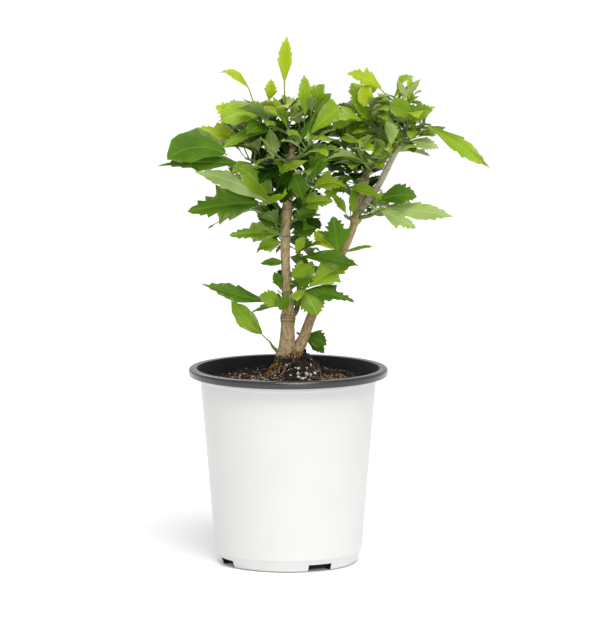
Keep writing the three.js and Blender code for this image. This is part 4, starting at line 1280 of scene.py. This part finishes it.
def limb_piece(name, sides, relief):
    """A limb as a rolled grid with furrows, knuckles, scars and closed ends."""
    sizes, axis = LIMBS[name], AXES[name]
    steps = np.linalg.norm(np.diff(axis, axis=0), axis=1)
    lengths = np.concatenate([[0], np.cumsum(steps)])
    total = lengths[-1]
    rows = int(total / BARK_ROW)
    ends = [0.0] * CAP_ROWS + [i / rows for i in range(rows + 1)] + [1.0] * CAP_ROWS
    scars = shares_of_shoots(name)
    frames = []
    side = np.array([1.0, 0, 0])
    for share in ends:
        t = np.interp(share * total, lengths, np.linspace(0, 1, len(lengths)))
        i = min(int(t * AXIS_STEPS), AXIS_STEPS - 1)
        along = (axis[i + 1] - axis[i]) / steps[i]
        side = side - along * side.dot(along)
        side /= np.linalg.norm(side)
        frames.append((curve_point(sizes["path"], t), side, np.cross(along, side), t))

    def place(u, row):
        centre, across, beside, t = frames[row]
        share = ends[row]
        stretch = t * (len(sizes["radii"]) - 1)
        i = min(int(stretch), len(sizes["radii"]) - 2)
        radius = mix(sizes["radii"][i], sizes["radii"][i + 1], stretch - i)
        radius += sum(by * math.exp(-(((share - at) / KNUCKLE) ** 2)) for at, by in sizes["knuckles"])
        radius += sum(by * math.exp(-(((share - at) / RING) ** 2)) for at, by in sizes["rings"])
        radius += sum(SCAR_RISE * radius * math.exp(-(((share - at) / SCAR) ** 2)) for at in scars)
        turn = 2 * math.pi * u
        radius *= 1 + sizes["flare"] * max(0, 1 - share / FLARE) * math.cos(FLARE_RIBS * turn + 0.6)
        gnarl = noise.fractal(on_bark(turn, share * total, GNARLS) * 0.9, 1.0, 2.0, 4)
        furrow = noise.noise(on_bark(turn, share * total, FURROWS))
        rough = relief * (ROUGH + ROUGHER_FOOT * max(0, 1 - share / FLARE))
        radius += rough * gnarl * GNARLS["height"] - relief * FURROWS["depth"] * max(0, furrow)
        from_end = min(row, len(ends) - 1 - row)
        radius *= min(1, from_end / CAP_ROWS) ** 0.5
        out = across * math.cos(turn) + beside * math.sin(turn)
        return centre + out * radius

    return rolled(name + "_bark", sides, len(ends) - 1, place)


# %% Each limb, with the light, dark and stained colour of its bark
OLD_RINGS = (202.5, 205.2, 207.5, 226.5, 273, 295.5)
TAN = ((0.49, 0.37, 0.195), (0.24, 0.165, 0.083), (0.32, 0.265, 0.125))
GREY = ((0.5, 0.46, 0.35), (0.26, 0.235, 0.165), (0.3, 0.31, 0.17))
GREEN = ((0.16, 0.2, 0.06), (0.08, 0.07, 0.03), (0.2, 0.13, 0.06))
ringed_bark = bark_finish("ringed_tan_bark", *TAN, 190, OLD_RINGS)
tan_bark = bark_finish("tan_bark", *TAN, 190)
grey_bark = bark_finish("grey_bark", *GREY, 70)
green_bark = bark_finish("green_bark", *GREEN, 60)
for name, sides, relief, slot, finish in (
    ("main_stem", 56, 0.45, "bark", ringed_bark),
    ("right_stem", 40, 0.28, "bark", tan_bark),
    ("right_leader", 24, 0.15, "bark", tan_bark),
    ("right_bough", 28, 0.18, "grey_bark", grey_bark),
    ("side_stem", 24, 0.12, "green_bark", green_bark),
):
    limb = limb_piece(name, sides, relief)
    smooth(limb, 60)
    dress(limb, slot, [finish], name)

# %% [markdown]
# ## The pruned stub
# The main stem was cut back, and its shoots broke out round the cut. The old face is a shallow,
# cracked disc of weathered wood. It could be a material on the stem's end, but its edge is a ring of
# callus, so a small turned disc sits on the stub.

# %% The cut face
CRACKED = 0.35
CRACKS_PER_METRE = 900
top_x, top_y, top_z = LIMBS["main_stem"]["path"][-1]
stub_outline = [(0.2, -1.2), (3.5, -1.2), (4.3, -0.6), (4.4, 0.1), (3.9, 0.55), (3.1, 0.3), (0.2, 0.05)]
stub = turned("cut_stub", [(r, z + top_z) for r, z in stub_outline], 28)
for vertex in stub.data.vertices:
    cracked = CRACKED * noise.noise(vertex.co * CRACKS_PER_METRE)
    vertex.co += Vector((top_x, top_y, cracked)) * MM
smooth(stub, 50)
dress(stub, "bark", [cut_wood()])


# %% [markdown]
# ## The growing rule
# A plant looks alive when its leaves differ but obey one habit. Placing hundreds by hand would take
# days, and scattering them at random would look like confetti. Here each shoot deals its leaves by
# the golden angle, with small seeded departures, so that the same crown grows on every run.

# %% Seeded numbers, the same as in the solids
GOLDEN = 137.5
AIMED_SEED = 5000
RULED_SEED = 100
FINER_SEED = 7000
MORE_SEED = 9000
INNER_SEED = 300
LAST = 0.98
ARCHED = 1.5
STALK_LEAST = 2
STALK_SHARE = 0.2
BEND_OUT = 0.6
BEND_UP = 0.35


def seeded(seed):
    """The mulberry32 stream: numbers from 0 to 1, the same for the same seed."""
    state = seed & 0xFFFFFFFF

    def draw():
        nonlocal state
        state = (state + 0x6D2B79F5) & 0xFFFFFFFF
        t = ((state ^ (state >> 15)) * (state | 1)) & 0xFFFFFFFF
        t = ((t + (((t ^ (t >> 7)) * (t | 61)) & 0xFFFFFFFF)) & 0xFFFFFFFF) ^ t
        return ((t ^ (t >> 14)) & 0xFFFFFFFF) / 4294967296

    return draw


def direction(heading, rise):
    """The way to a heading, in degrees from +X towards +Y, and a rise above level."""
    flat = math.cos(math.radians(rise))
    turn = math.radians(heading)
    return np.array([flat * math.cos(turn), flat * math.sin(turn), math.sin(math.radians(rise))])


def on_limb(name, height):
    """Where a limb's axis passes a height, or the point above its tip."""
    axis = AXES[name]
    if height > axis[-1][2]:
        return np.array([axis[-1][0], axis[-1][1], height])
    i = int(np.argmax(axis[:, 2] >= height))
    low, high = axis[i - 1], axis[i]
    return low + (high - low) * (height - low[2]) / (high[2] - low[2])


def bent(start, end):
    """A shoot leaves sideways and then turns up to its end. Gives its place at a share."""
    start, end = np.array(start, float), np.array(end, float)
    turn = np.array([*mix(start[:2], end[:2], BEND_OUT), mix(start[2], end[2], BEND_UP)])
    return lambda t: start * (1 - t) ** 2 + turn * 2 * t * (1 - t) + end * t**2


# %% A leaf that is aimed, and a leaf that follows the rule
def root_of(spec, path):
    """A leaf that stands out springs from its shoot, or straight from the bark at its own root."""
    return path(min(spec["along"], LAST)) if spec["root"] is None else np.array(spec["root"], float)


def aimed_leaf(spec, path):
    """Angles and lengths of a leaf whose tip, however far it droops, comes to its set place."""
    way = np.array(spec["tip"], float) - root_of(spec, path)
    span = float(np.linalg.norm(way))
    stalk = spec["stalk"]
    if stalk is None:
        stalk = span - (span - STALK_LEAST) / (1 + STALK_SHARE)
    half = math.radians(spec["droop"]) / 2
    lifted = math.asin(stalk * math.sin(half) / span)
    arched = math.sin(half) / half if half else 1.0
    length = (span * math.cos(lifted) - stalk * math.cos(half)) / arched
    heading = math.degrees(math.atan2(way[1], way[0]))
    rise = math.degrees(math.asin(way[2] / span) - lifted)
    tilt = math.radians(spec["tilt"])
    face = np.array([0, -math.sin(tilt), math.cos(tilt)])
    level = direction(heading, rise + 90)
    side = np.cross(direction(heading, rise), level)
    roll = math.degrees(math.atan2(face.dot(side), face.dot(level)))
    kept = {key: spec[key] for key in ("along", "droop", "width", "tone", "outline")}
    return {**kept, "heading": heading, "rise": rise, "length": length, "roll": roll, "stalk": stalk}


RISES = (-8, 52)
HANGING = (-34, 24)
LENGTHS = (0.85, 1.15)
HEADINGS = (-14, 14)
TILTS = (-12, 12)
DROOPS = (15, 50)
ROLLS = (-35, 35)
WIDTHS = (0.9, 1.1)
STALKS = (0.12, 0.32)


def ruled_leaf(growing, index, count, draw, scale=1.0, rises=RISES):
    """The next leaf of a shoot: leaves shorten and rise towards its end. Angles are in degrees."""
    along = mix(0.25, 1, index / max(1, count - 1))
    length = growing["long"] * scale * mix(1, 0.5, along) * mix(*LENGTHS, draw())
    return {
        "heading": growing["turn"] + index * GOLDEN + mix(*HEADINGS, draw()), "along": along,
        "rise": mix(*rises, along) + mix(*TILTS, draw()), "droop": mix(*DROOPS, draw()) * ARCHED,
        "roll": mix(*ROLLS, draw()), "width": mix(*WIDTHS, draw()), "length": length,
        "stalk": STALK_LEAST + mix(*STALKS, draw()) * length, "outline": None,
    }


# %% [markdown]
# ## One leaf
# A leaf of this shrub is a wedge at its foot, often three-lobed, with coarse teeth that point to its
# tip. It folds a little along the midrib, each half is slightly cushioned, and its margin waves. A
# flat card with a picture would do from far away, but not here. Each blade is a thin closed skin of
# rings: a darker face above, a paler one below, and teeth cut in its own outline.

# %% Outlines of the blade, as shares of its length and half widths there, tooth by tooth
OUTLINES = {
    "lobed": [
        (0, 0.04), (0.12, 0.13), (0.24, 0.23), (0.31, 0.3), (0.345, 0.26), (0.43, 0.345), (0.49, 0.22),
        (0.54, 0.15), (0.64, 0.2), (0.68, 0.135), (0.77, 0.15), (0.81, 0.085), (0.9, 0.07), (1, 0),
    ],
    "toothed": [
        (0, 0.04), (0.14, 0.17), (0.28, 0.27), (0.4, 0.335), (0.44, 0.26), (0.54, 0.29), (0.58, 0.21),
        (0.68, 0.225), (0.72, 0.15), (0.81, 0.15), (0.85, 0.09), (1, 0),
    ],
    "slender": [
        (0, 0.04), (0.15, 0.15), (0.32, 0.26), (0.42, 0.3), (0.46, 0.25), (0.56, 0.28), (0.6, 0.22),
        (0.69, 0.22), (0.73, 0.16), (0.81, 0.15), (0.85, 0.09), (1, 0),
    ],
    "whole": [
        (0, 0.04), (0.05, 0.12), (0.13, 0.21), (0.23, 0.285), (0.35, 0.325), (0.47, 0.325),
        (0.59, 0.29), (0.71, 0.23), (0.82, 0.155), (0.92, 0.075), (1, 0),
    ],
    "wedge": [
        (0, 0.04), (0.18, 0.11), (0.36, 0.19), (0.54, 0.265), (0.68, 0.31), (0.78, 0.315), (0.86, 0.27),
        (0.91, 0.19), (1, 0),
    ],
    "young": [(0, 0.04), (0.22, 0.2), (0.44, 0.3), (0.5, 0.24), (0.68, 0.2), (0.74, 0.13), (1, 0)],
}
UV_HALF = 0.36
FOLD = math.radians(14)
FORWARD = 0.48
UNEVEN = 0.08
MIDRIB_THICK = 0.5
LOBED_FROM = 30
TOOTHED_FROM = 16
SLENDER_TO = 0.62
FINE_RING = [(-1, 0), (-0.5, 0.6), (0, 1), (0.5, 0.6), (1, 0), (0.5, -0.6), (0, -1), (-0.5, -0.6)]
PLAIN_RING = [(-1, 0), (0, 1), (1, 0), (0, -1)]


def outline_of(made):
    """Short leaves are simple, narrow ones slender, and full-grown ones lobed."""
    if made["outline"]:
        return OUTLINES[made["outline"]]
    if made["length"] < TOOTHED_FROM:
        return OUTLINES["young"]
    if made["width"] <= SLENDER_TO:
        return OUTLINES["slender"]
    return OUTLINES["lobed" if made["length"] > LOBED_FROM else "toothed"]


# %% The mesh of one blade
def blade(start, made, draw, fine):
    """Corners, faces, finishes and UV places of one blade, from the end of its stalk."""
    outline = outline_of(made)
    ring = FINE_RING if fine else PLAIN_RING
    length, count = made["length"], len(ring)
    wave, phase = mix(0.015, 0.045, draw()), WHOLE_TURN * draw()
    cushion, twist = mix(0.04, 0.16, draw()), mix(-16, 16, draw())
    corners, places = [], []
    point = np.array(start, float)
    for i, (share, half) in enumerate(outline[:-1]):
        slope = made["rise"] + made["droop"] * (0.5 - share)
        along = direction(made["heading"], slope)
        level = direction(made["heading"], slope + 90)
        roll = math.radians(made["roll"] + twist * (share - 0.3))
        normal = level * math.cos(roll) + np.cross(along, level) * math.sin(roll)
        side = np.cross(along, normal)
        for across, skin in ring:
            edge = abs(across)
            uneven = 1 + UNEVEN * math.sin(5 * phase + 2.1 * i + (1.7 if across > 0 else 0))
            width = half * length * made["width"] * uneven
            lift = edge * width * math.sin(FOLD) + 4 * cushion * edge * (1 - edge) * width
            lift += wave * length * edge**2 * math.sin(phase + 8 * share + (2 if across > 0 else 0))
            thick = skin * MIDRIB_THICK / 2 * (1 - 0.5 * share)
            ahead = edge * width * FORWARD
            aside = point + side * across * width * math.cos(FOLD)
            corners.append(aside + normal * (lift + thick) + along * ahead)
            places.append((0.5 + 0.5 * across * half / UV_HALF, share))
        step = outline[i + 1][0] - share
        point = point + direction(made["heading"], slope - made["droop"] * step / 2) * length * step
    corners.append(point)
    places.append((0.5, 1.0))
    faces, finishes = [tuple(reversed(range(count)))], [0]
    rows, tip = len(outline) - 1, len(corners) - 1
    for i in range(rows):
        for j in range(count):
            near, k = i * count, (j + 1) % count
            if i + 1 < rows:
                faces.append((near + j, near + k, near + count + k, near + count + j))
            else:
                faces.append((near + j, near + k, tip))
            finishes.append(0 if j < count // 2 else 1)
    return corners, faces, finishes, places


# %% [markdown]
# ## Growing the crown
# The solids show the crown's outline with few leaves. A real crown is denser inside, so each shoot
# gets more leaves between those of the rule, its end carries a tuft of very young ones, and the stem
# of each mass is clothed too. A leaf that would leave its mass's reach is shortened. One that would
# pass through wood or another leaf is turned a little, and left out if no turn helps.

# %% Denser than the solids
RULE_SCALE = 1.2
MORE_LEAVES = 1.2
MORE_BEHIND = 2.4
DENSE_BEHIND = ["foliage_crown_back", "foliage_left_back", "foliage_right_back"]
MORE_BELOW = 0.5
BELOW = 290
MORE_SCALE = 1.4
STEM_LEAVES = 5
STEM_RADII = (2.0, 1.45)
SHOOT_RADII = (1.5, 0.8)
STALK_SAG = 0.05
STALK_THIN = 0.3
STALK_PER_MM = 0.007
TUFT = 3
TUFT_LENGTH = (7, 15)
SHORTER = (1, 0.82, 0.66)
TURNS = [(0, 0), (14, 6), (-14, -6), (26, -10), (-26, 10), (0, 18), (42, 8), (-42, -8)]
# The deep tone is painted shade; the other tones are partly the leaves' own colour and partly painted
# light and shade.
TONES = ["deep", "dark", "mid", "fresh", "lime"]
blades = {tone: Basket() for tone in TONES}
wood = Basket()
stalks = Basket()
taken = []
balls = np.empty((0, 4))


def space_of(corners, faces):
    """What a shape fills: the middle and radius of a ball round it, and a tree of its faces."""
    places = np.array([tuple(c) for c in corners])
    middle = places.mean(axis=0)
    radius = math.sqrt(((places - middle) ** 2).sum(axis=1).max())
    return middle, radius, BVHTree.FromPolygons(places.tolist(), faces)


def take(space):
    """Keeps a space for what grows there."""
    global balls
    middle, radius, tree = space
    balls = np.vstack([balls, [*middle, radius]])
    taken.append(tree)


def is_free(space):
    """Whether a shape keeps out of everything that has grown so far."""
    middle, radius, tree = space
    apart = ((balls[:, :3] - middle) ** 2).sum(axis=1)
    near = np.nonzero(apart < (balls[:, 3] + radius) ** 2)[0]
    return not any(tree.overlap(taken[i]) for i in near)


# %% The limbs and shoots take their space first
def add_wood(path, thick, thin, steps, sides):
    """A tapering green shoot, which later leaves keep clear of."""
    points = [path(t / steps) for t in range(steps + 1)]
    radii = [mix(thick, thin, t / steps) for t in range(steps + 1)]
    wood.add(*tube(points, radii, sides))
    take(space_of(*tube(points[1:], radii[1:], 4)))


for name, sizes in LIMBS.items():
    axis = AXES[name][:: AXIS_STEPS // 20]
    stations = np.linspace(0, 1, len(sizes["radii"]))
    spread = np.interp(np.linspace(0, 1, len(axis)), stations, sizes["radii"])
    for i in range(0, len(axis) - 1, 4):
        take(space_of(*tube(axis[i:i + 5], spread[i:i + 5], 8)))
print("pieces of limb that leaves keep clear of:", len(taken))

# %% Some stretches of wood stay bare in front, and some gaps stay open
# A stretch is (limb, from, to) in heights, and a gap is (left and right, bottom and top), all in mm.
BARE = [
    ("main_stem", 176, 209), ("main_stem", 232, 294), ("main_stem", 333, 352),
    ("right_stem", 188, 218), ("right_stem", 262, 329), ("right_bough", 316, 342),
]
BARE_REACH = 80
GAPS = [
    ((-70, -14), (222, 256)), ((-105, -66), (299, 324)), ((-110, -60), (362, 430)),
    ((-48, -8), (386, 430)), ((-42, -31), (331, 341)), ((-8, 10), (390, 430)), ((33, 41), (381, 400)),
    ((77, 89), (391, 430)), ((111, 150), (383, 430)), ((123, 150), (368, 430)), ((84, 130), (308, 334)),
    ((60, 104), (250, 284)), ((28, 50), (284, 299)), ((20, 34), (206, 232)), ((50, 120), (200, 262)),
    ((-66, -28), (276, 287)), ((-70, -54), (309, 322)),
]
GAP_LOW = np.array(GAPS, float)[:, :, 0]
GAP_HIGH = np.array(GAPS, float)[:, :, 1]


def is_clear(corners):
    """Whether a shape keeps out of the gaps, as the camera sees them."""
    places = np.array(corners)
    seen_up = places[:, 2] + places[:, 1] * math.tan(ELEVATION)
    seen = np.stack([places[:, 0], seen_up], axis=1)[:, None]
    return not ((seen > GAP_LOW) & (seen < GAP_HIGH)).all(axis=2).any()


def keep_front_open(first, last):
    """Takes the sheet of air in front of a line, so that nothing grows across it."""
    ahead = np.array([0, -BARE_REACH, 0])
    first, last = np.array(first, float), np.array(last, float)
    take(space_of([first, last, last + ahead, first + ahead], [(0, 1, 2, 3)]))


for name, low_end, high_end in BARE:
    keep_front_open(on_limb(name, low_end), on_limb(name, high_end))
for across, up in GAPS:
    box = [np.array((x, y, z), float) for x in across for y in (-BARE_REACH, BARE_REACH) for z in up]
    take(space_of(box, BOX_FACES))
print("bare stretches:", len(BARE), "gaps:", len(GAPS))

# %% Then every green stem and shoot
# Each shoot keeps a number for its seeds, and the limit of its mass: its middle and its reach.
spurs = []
for index, grown in enumerate(MASSES):
    stem = bent(on_limb(grown["limb"], grown["height"]), grown["to"])
    limit = (np.array(grown["to"], float), grown["reach"])
    add_wood(stem, *STEM_RADII, steps=5, sides=8)
    for i, growing in enumerate(grown["shoots"]):
        path = bent(stem(growing["at"]), growing["to"])
        add_wood(path, *SHOOT_RADII, steps=8, sides=7)
        spurs.append((100 * index + i, grown, growing, stem, path, limit))
print("shoots:", len(spurs))


# %% Hanging one leaf
SLACK = 3
BARE_AHEAD = 6
BARE_ALONG = 0.8
BOX_LOW = np.array(cad_low) / MM - SLACK
BOX_HIGH = np.array(cad_high) / MM + SLACK


def is_inside(corners):
    """Whether a shape keeps to the box of the solids, give or take the slack."""
    places = np.array(corners)
    return bool((places.min(axis=0) > BOX_LOW).all() and (places.max(axis=0) < BOX_HIGH).all())


def hang(root, made, draw, limit=None, aimed=False):
    """Adds one leaf with its stalk where it finds room, and counts it.

    A leaf that is aimed has a finer mesh, takes its place as it is, and keeps the air before it open.
    """
    for shorter in SHORTER:
        for turn, lift in TURNS:
            tried = {
                **made, "heading": made["heading"] + turn, "rise": made["rise"] + lift,
                "length": made["length"] * shorter,
            }
            way = direction(tried["heading"], tried["rise"])
            stalk_way = direction(tried["heading"], tried["rise"] + tried["droop"] / 2)
            start = root + stalk_way * tried["stalk"]
            end = start + way * tried["length"]
            if limit is not None and np.linalg.norm(end - limit[0]) > limit[1]:
                continue
            shape = blade(start, tried, draw, aimed)
            if not aimed and not (is_inside(shape[0]) and is_clear(shape[0])):
                continue
            space = space_of(*shape[:2])
            if aimed or is_free(space):
                take(space)
                if aimed:
                    ahead = start - np.array([0, BARE_AHEAD, 0])
                    keep_front_open(ahead, start + way * tried["length"] * BARE_ALONG)
                blades[made["tone"]].add(*shape)
                sag = (root + start) / 2 - np.array([0, 0, STALK_SAG * tried["stalk"]])
                thin = STALK_THIN + STALK_PER_MM * tried["length"]
                stalks.add(*tube([root, sag, start], [thin * 1.3, thin, thin * 1.1], 5))
                return 1
    return 0


SHADED = {"across": (-34, 46), "deep": 26, "up": (288, 366)}
DARKER_BELOW = 0.2
LIGHTER_ABOVE = 0.84


def toned(tone, place, draw):
    """Leaves deep in the crown are a tone darker, as painted shade. Now and then one differs from its
    spray.
    """
    step = draw()
    move = int(step > LIGHTER_ABOVE) - int(step < DARKER_BELOW)
    (left, right), (low, high) = SHADED["across"], SHADED["up"]
    if left < place[0] < right and low < place[2] < high and abs(place[1]) < SHADED["deep"]:
        move -= 1
    return TONES[min(len(TONES) - 1, max(0, TONES.index(tone) + move))]


# %% First the leaves that stand out, then those of the rule
standing = 0
for number, grown, growing, stem, path, limit in spurs:
    draw = seeded(AIMED_SEED + number)
    for spec in growing["leaves"]:
        standing += hang(root_of(spec, path), aimed_leaf(spec, path), draw, aimed=True)
ruled = 0
for number, grown, growing, stem, path, limit in spurs:
    draw, finer = seeded(RULED_SEED + number), seeded(FINER_SEED + number)
    for step in range(growing["fill"]):
        made = ruled_leaf(growing, step, growing["fill"], draw, RULE_SCALE)
        root = path(min(made["along"], LAST))
        made["tone"] = toned(growing["tone"], root, finer)
        ruled += hang(root, made, finer, limit)
print("leaves that stand out:", standing, "leaves of the rule:", ruled)

# %% Then the finer growth
def more_of(grown):
    """The crown is dense behind, where light comes only from above, and open low down."""
    if grown["name"] in DENSE_BEHIND:
        return MORE_BEHIND
    return MORE_BELOW if grown["height"] < BELOW else MORE_LEAVES


more = tufts = 0
for number, grown, growing, stem, path, limit in spurs:
    finer = seeded(MORE_SEED + number)
    count = round(growing["fill"] * more_of(grown))
    for step in range(count):
        made = ruled_leaf(growing, step + 0.5, count + 0.5, finer, MORE_SCALE, HANGING)
        root = path(min(made["along"], LAST))
        made["tone"] = toned(growing["tone"], root, finer)
        more += hang(root, made, finer, limit)
    for step in range(STEM_LEAVES if growing["fill"] and growing is grown["shoots"][0] else 0):
        made = ruled_leaf(growing, step, STEM_LEAVES, finer, 1.0, HANGING)
        root = stem(mix(0.3, 1, step / STEM_LEAVES))
        made["tone"] = toned("dark", root, finer)
        more += hang(root, made, finer, limit)
    for step in range(TUFT if growing["fill"] else 0):
        young = {
            "heading": growing["turn"] + step * GOLDEN, "rise": mix(35, 80, finer()),
            "length": mix(*TUFT_LENGTH, finer()), "along": 1, "droop": mix(-10, 40, finer()),
            "roll": mix(-40, 40, finer()), "width": 0.8, "stalk": mix(1.5, 5, finer()),
            "tone": toned(growing["tone"], path(LAST), finer), "outline": None,
        }
        tufts += hang(path(LAST), young, finer, limit)
print("finer leaves:", more, "young leaves in tufts:", tufts)

# %% Last, dark leaves close to the wood, behind it, in tones of painted shade
INNER = [("main_stem", 290, 343, 26), ("right_stem", 284, 322, 14), ("right_leader", 322, 349, 8)]
# The deep and dark tones of these leaves are painted shade round the wood.
INNER_TONES = ["deep", "deep", "dark"]
inner = 0
for number, (limb_name, low_end, high_end, count) in enumerate(INNER):
    draw = seeded(INNER_SEED + number)
    for step in range(count):
        made = {
            "heading": mix(0, 180, draw()), "rise": mix(-30, 50, draw()), "length": mix(22, 40, draw()),
            "along": 0, "droop": mix(10, 70, draw()), "roll": mix(-60, 60, draw()), "width": 1.1,
            "stalk": mix(2, 14, draw()), "tone": INNER_TONES[step % len(INNER_TONES)], "outline": None,
        }
        inner += hang(on_limb(limb_name, mix(low_end, high_end, step / count)), made, draw)
print("leaves close to the wood:", inner)


# %% [markdown]
# ## The finish of a leaf
# The upper face is satin with a network of pale veins, and the lower face is duller and greyer.
# Leaves inside the crown are dark, mostly as painted shade. Young ones at the tips are lime: partly
# their own young colour, and partly the light that comes through them, painted into it. A picture of
# a leaf could bring all this, but only at one size, so each tone is drawn with noise and with veins
# that read the blade's own UV map, across the blade and along it.


# %% Leaf faces
VEINS = 20.0
VEIN_SLANT = 0.9
GLOW_REACH = (0.6, 1.0, 0.15)


def leaf_finish(name, light, dark, vein, glow, roughness, specular):
    """A satin face with a midrib and slanted side veins. Light glows through it a little."""
    made, tree, shader = new_material(name, roughness, specular)
    own = node(tree, "ShaderNodeUVMap", uv_map="UVMap").outputs[0]
    across, along = node(tree, "ShaderNodeSeparateXYZ", {0: own}).outputs[:2]
    from_rib = maths(tree, "ABSOLUTE", maths(tree, "SUBTRACT", across, 0.5))
    slanted = maths(tree, "MULTIPLY_ADD", from_rib, -VEIN_SLANT, along)
    wave = maths(tree, "ABSOLUTE", maths(tree, "SINE", maths(tree, "MULTIPLY", slanted, VEINS)))
    side_vein = ramp(tree, wave, [(0.02, (0.4, 0.4, 0.4)), (0.2, (0, 0, 0))])
    midrib = ramp(tree, from_rib, [(0.012, (1, 1, 1)), (0.045, (0, 0, 0))])
    veins = maths(tree, "MAXIMUM", midrib, side_vein)
    place = object_place(tree)
    patch = noise_at(tree, place, 38, 3.0, 0.6)
    skin = ramp(tree, patch, [(0.34, dark), (0.66, light)])
    mottle = noise_at(tree, place, 420, 3.0, 0.6)
    skin = blend(tree, maths(tree, "MULTIPLY", mottle, 0.24), skin, dark)
    colour_from(tree, shader, blend(tree, maths(tree, "MULTIPLY", veins, 0.5), skin, vein))
    gloss = maths(tree, "MULTIPLY_ADD", noise_at(tree, place, 90, 2.0), 0.2, roughness - 0.1)
    tree.links.new(gloss, shader.inputs["Roughness"])
    quilt = maths(tree, "MULTIPLY_ADD", wave, 0.6, maths(tree, "MULTIPLY", mottle, 0.3))
    bump(tree, shader, maths(tree, "SUBTRACT", quilt, midrib), 0.3, 0.0005)
    shader.inputs["Subsurface Weight"].default_value = glow
    shader.inputs["Subsurface Radius"].default_value = GLOW_REACH
    shader.inputs["Subsurface Scale"].default_value = 0.0015
    return made


# Each look is its light, dark and vein colour, its glow, its roughness and its specular.
LEAF_LOOKS = {
    # The deep looks are painted shade, and the lime looks are partly painted light that comes through
    # young leaves.
    "leaf_deep": ((0.018, 0.06, 0.001), (0.007, 0.026, 0.001), (0.04, 0.1, 0.008), 0.02, 0.5, 0.05),
    "leaf_dark": ((0.09, 0.2, 0.005), (0.045, 0.115, 0.003), (0.15, 0.28, 0.025), 0.05, 0.4, 0.12),
    "leaf_mid": ((0.205, 0.335, 0.012), (0.115, 0.21, 0.006), (0.29, 0.43, 0.045), 0.08, 0.38, 0.18),
    "leaf_fresh": ((0.295, 0.445, 0.014), (0.19, 0.32, 0.008), (0.4, 0.53, 0.055), 0.12, 0.38, 0.22),
    "leaf_lime": ((0.39, 0.49, 0.008), (0.28, 0.385, 0.004), (0.48, 0.57, 0.04), 0.2, 0.42, 0.24),
    "leaf_deep_under": ((0.038, 0.085, 0.012), (0.02, 0.05, 0.006), (0.08, 0.14, 0.03), 0.02, 0.6, 0.06),
    "leaf_dark_under": ((0.155, 0.24, 0.065), (0.1, 0.165, 0.035), (0.22, 0.31, 0.09), 0.05, 0.6, 0.12),
    "leaf_mid_under": ((0.27, 0.365, 0.13), (0.185, 0.27, 0.07), (0.34, 0.45, 0.16), 0.08, 0.6, 0.18),
    "leaf_fresh_under": ((0.345, 0.45, 0.16), (0.255, 0.36, 0.085), (0.42, 0.53, 0.18), 0.12, 0.6, 0.2),
    "leaf_lime_under": ((0.42, 0.51, 0.05), (0.3, 0.41, 0.025), (0.5, 0.59, 0.12), 0.2, 0.55, 0.2),
}
print("looks of leaf faces:", len(LEAF_LOOKS))

# %% The leaves become five pieces
all_masses = [grown["name"] for grown in MASSES]
young_masses = ["foliage_top", "foliage_right_outer"]
full_grown = [name for name in all_masses if name not in young_masses]
for tone in TONES:
    piece = blades[tone].mesh("leaves_" + tone)
    smooth(piece, 45)
    slot, grown = ("young_foliage", young_masses) if tone == "lime" else ("foliage", full_grown)
    sides = ["leaf_" + tone, "leaf_" + tone + "_under"]
    dress(piece, slot, [leaf_finish(side, *LEAF_LOOKS[side]) for side in sides], *grown)

# %% Shoots and stalks
green_shoot = plain_grain("green_shoot", (0.2, 0.27, 0.07), (0.1, 0.11, 0.035), 240, 0.6)
leaf_stalk = plain_grain("leaf_stalk", (0.27, 0.38, 0.09), (0.14, 0.22, 0.04), 200, 0.55)
for name, basket, finish in (("green_shoots", wood, green_shoot), ("leaf_stalks", stalks, leaf_stalk)):
    piece = basket.mesh(name)
    smooth(piece, 60)
    dress(piece, "foliage", [finish], *all_masses)

# %% [markdown]
# ## The two boxes
# The dressed plant has to keep to the box of its solids, give or take a few millimetres. Both boxes
# are printed.

# %% Print the two boxes and finish
low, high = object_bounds()
sizes = {"cad": [list(cad_low), list(cad_high)], "visual": [list(low), list(high)]}
print("cad box:", [round(v / MM) for v in (*cad_low, *cad_high)])
print("visual box:", [round(v / MM) for v in (*low, *high)])
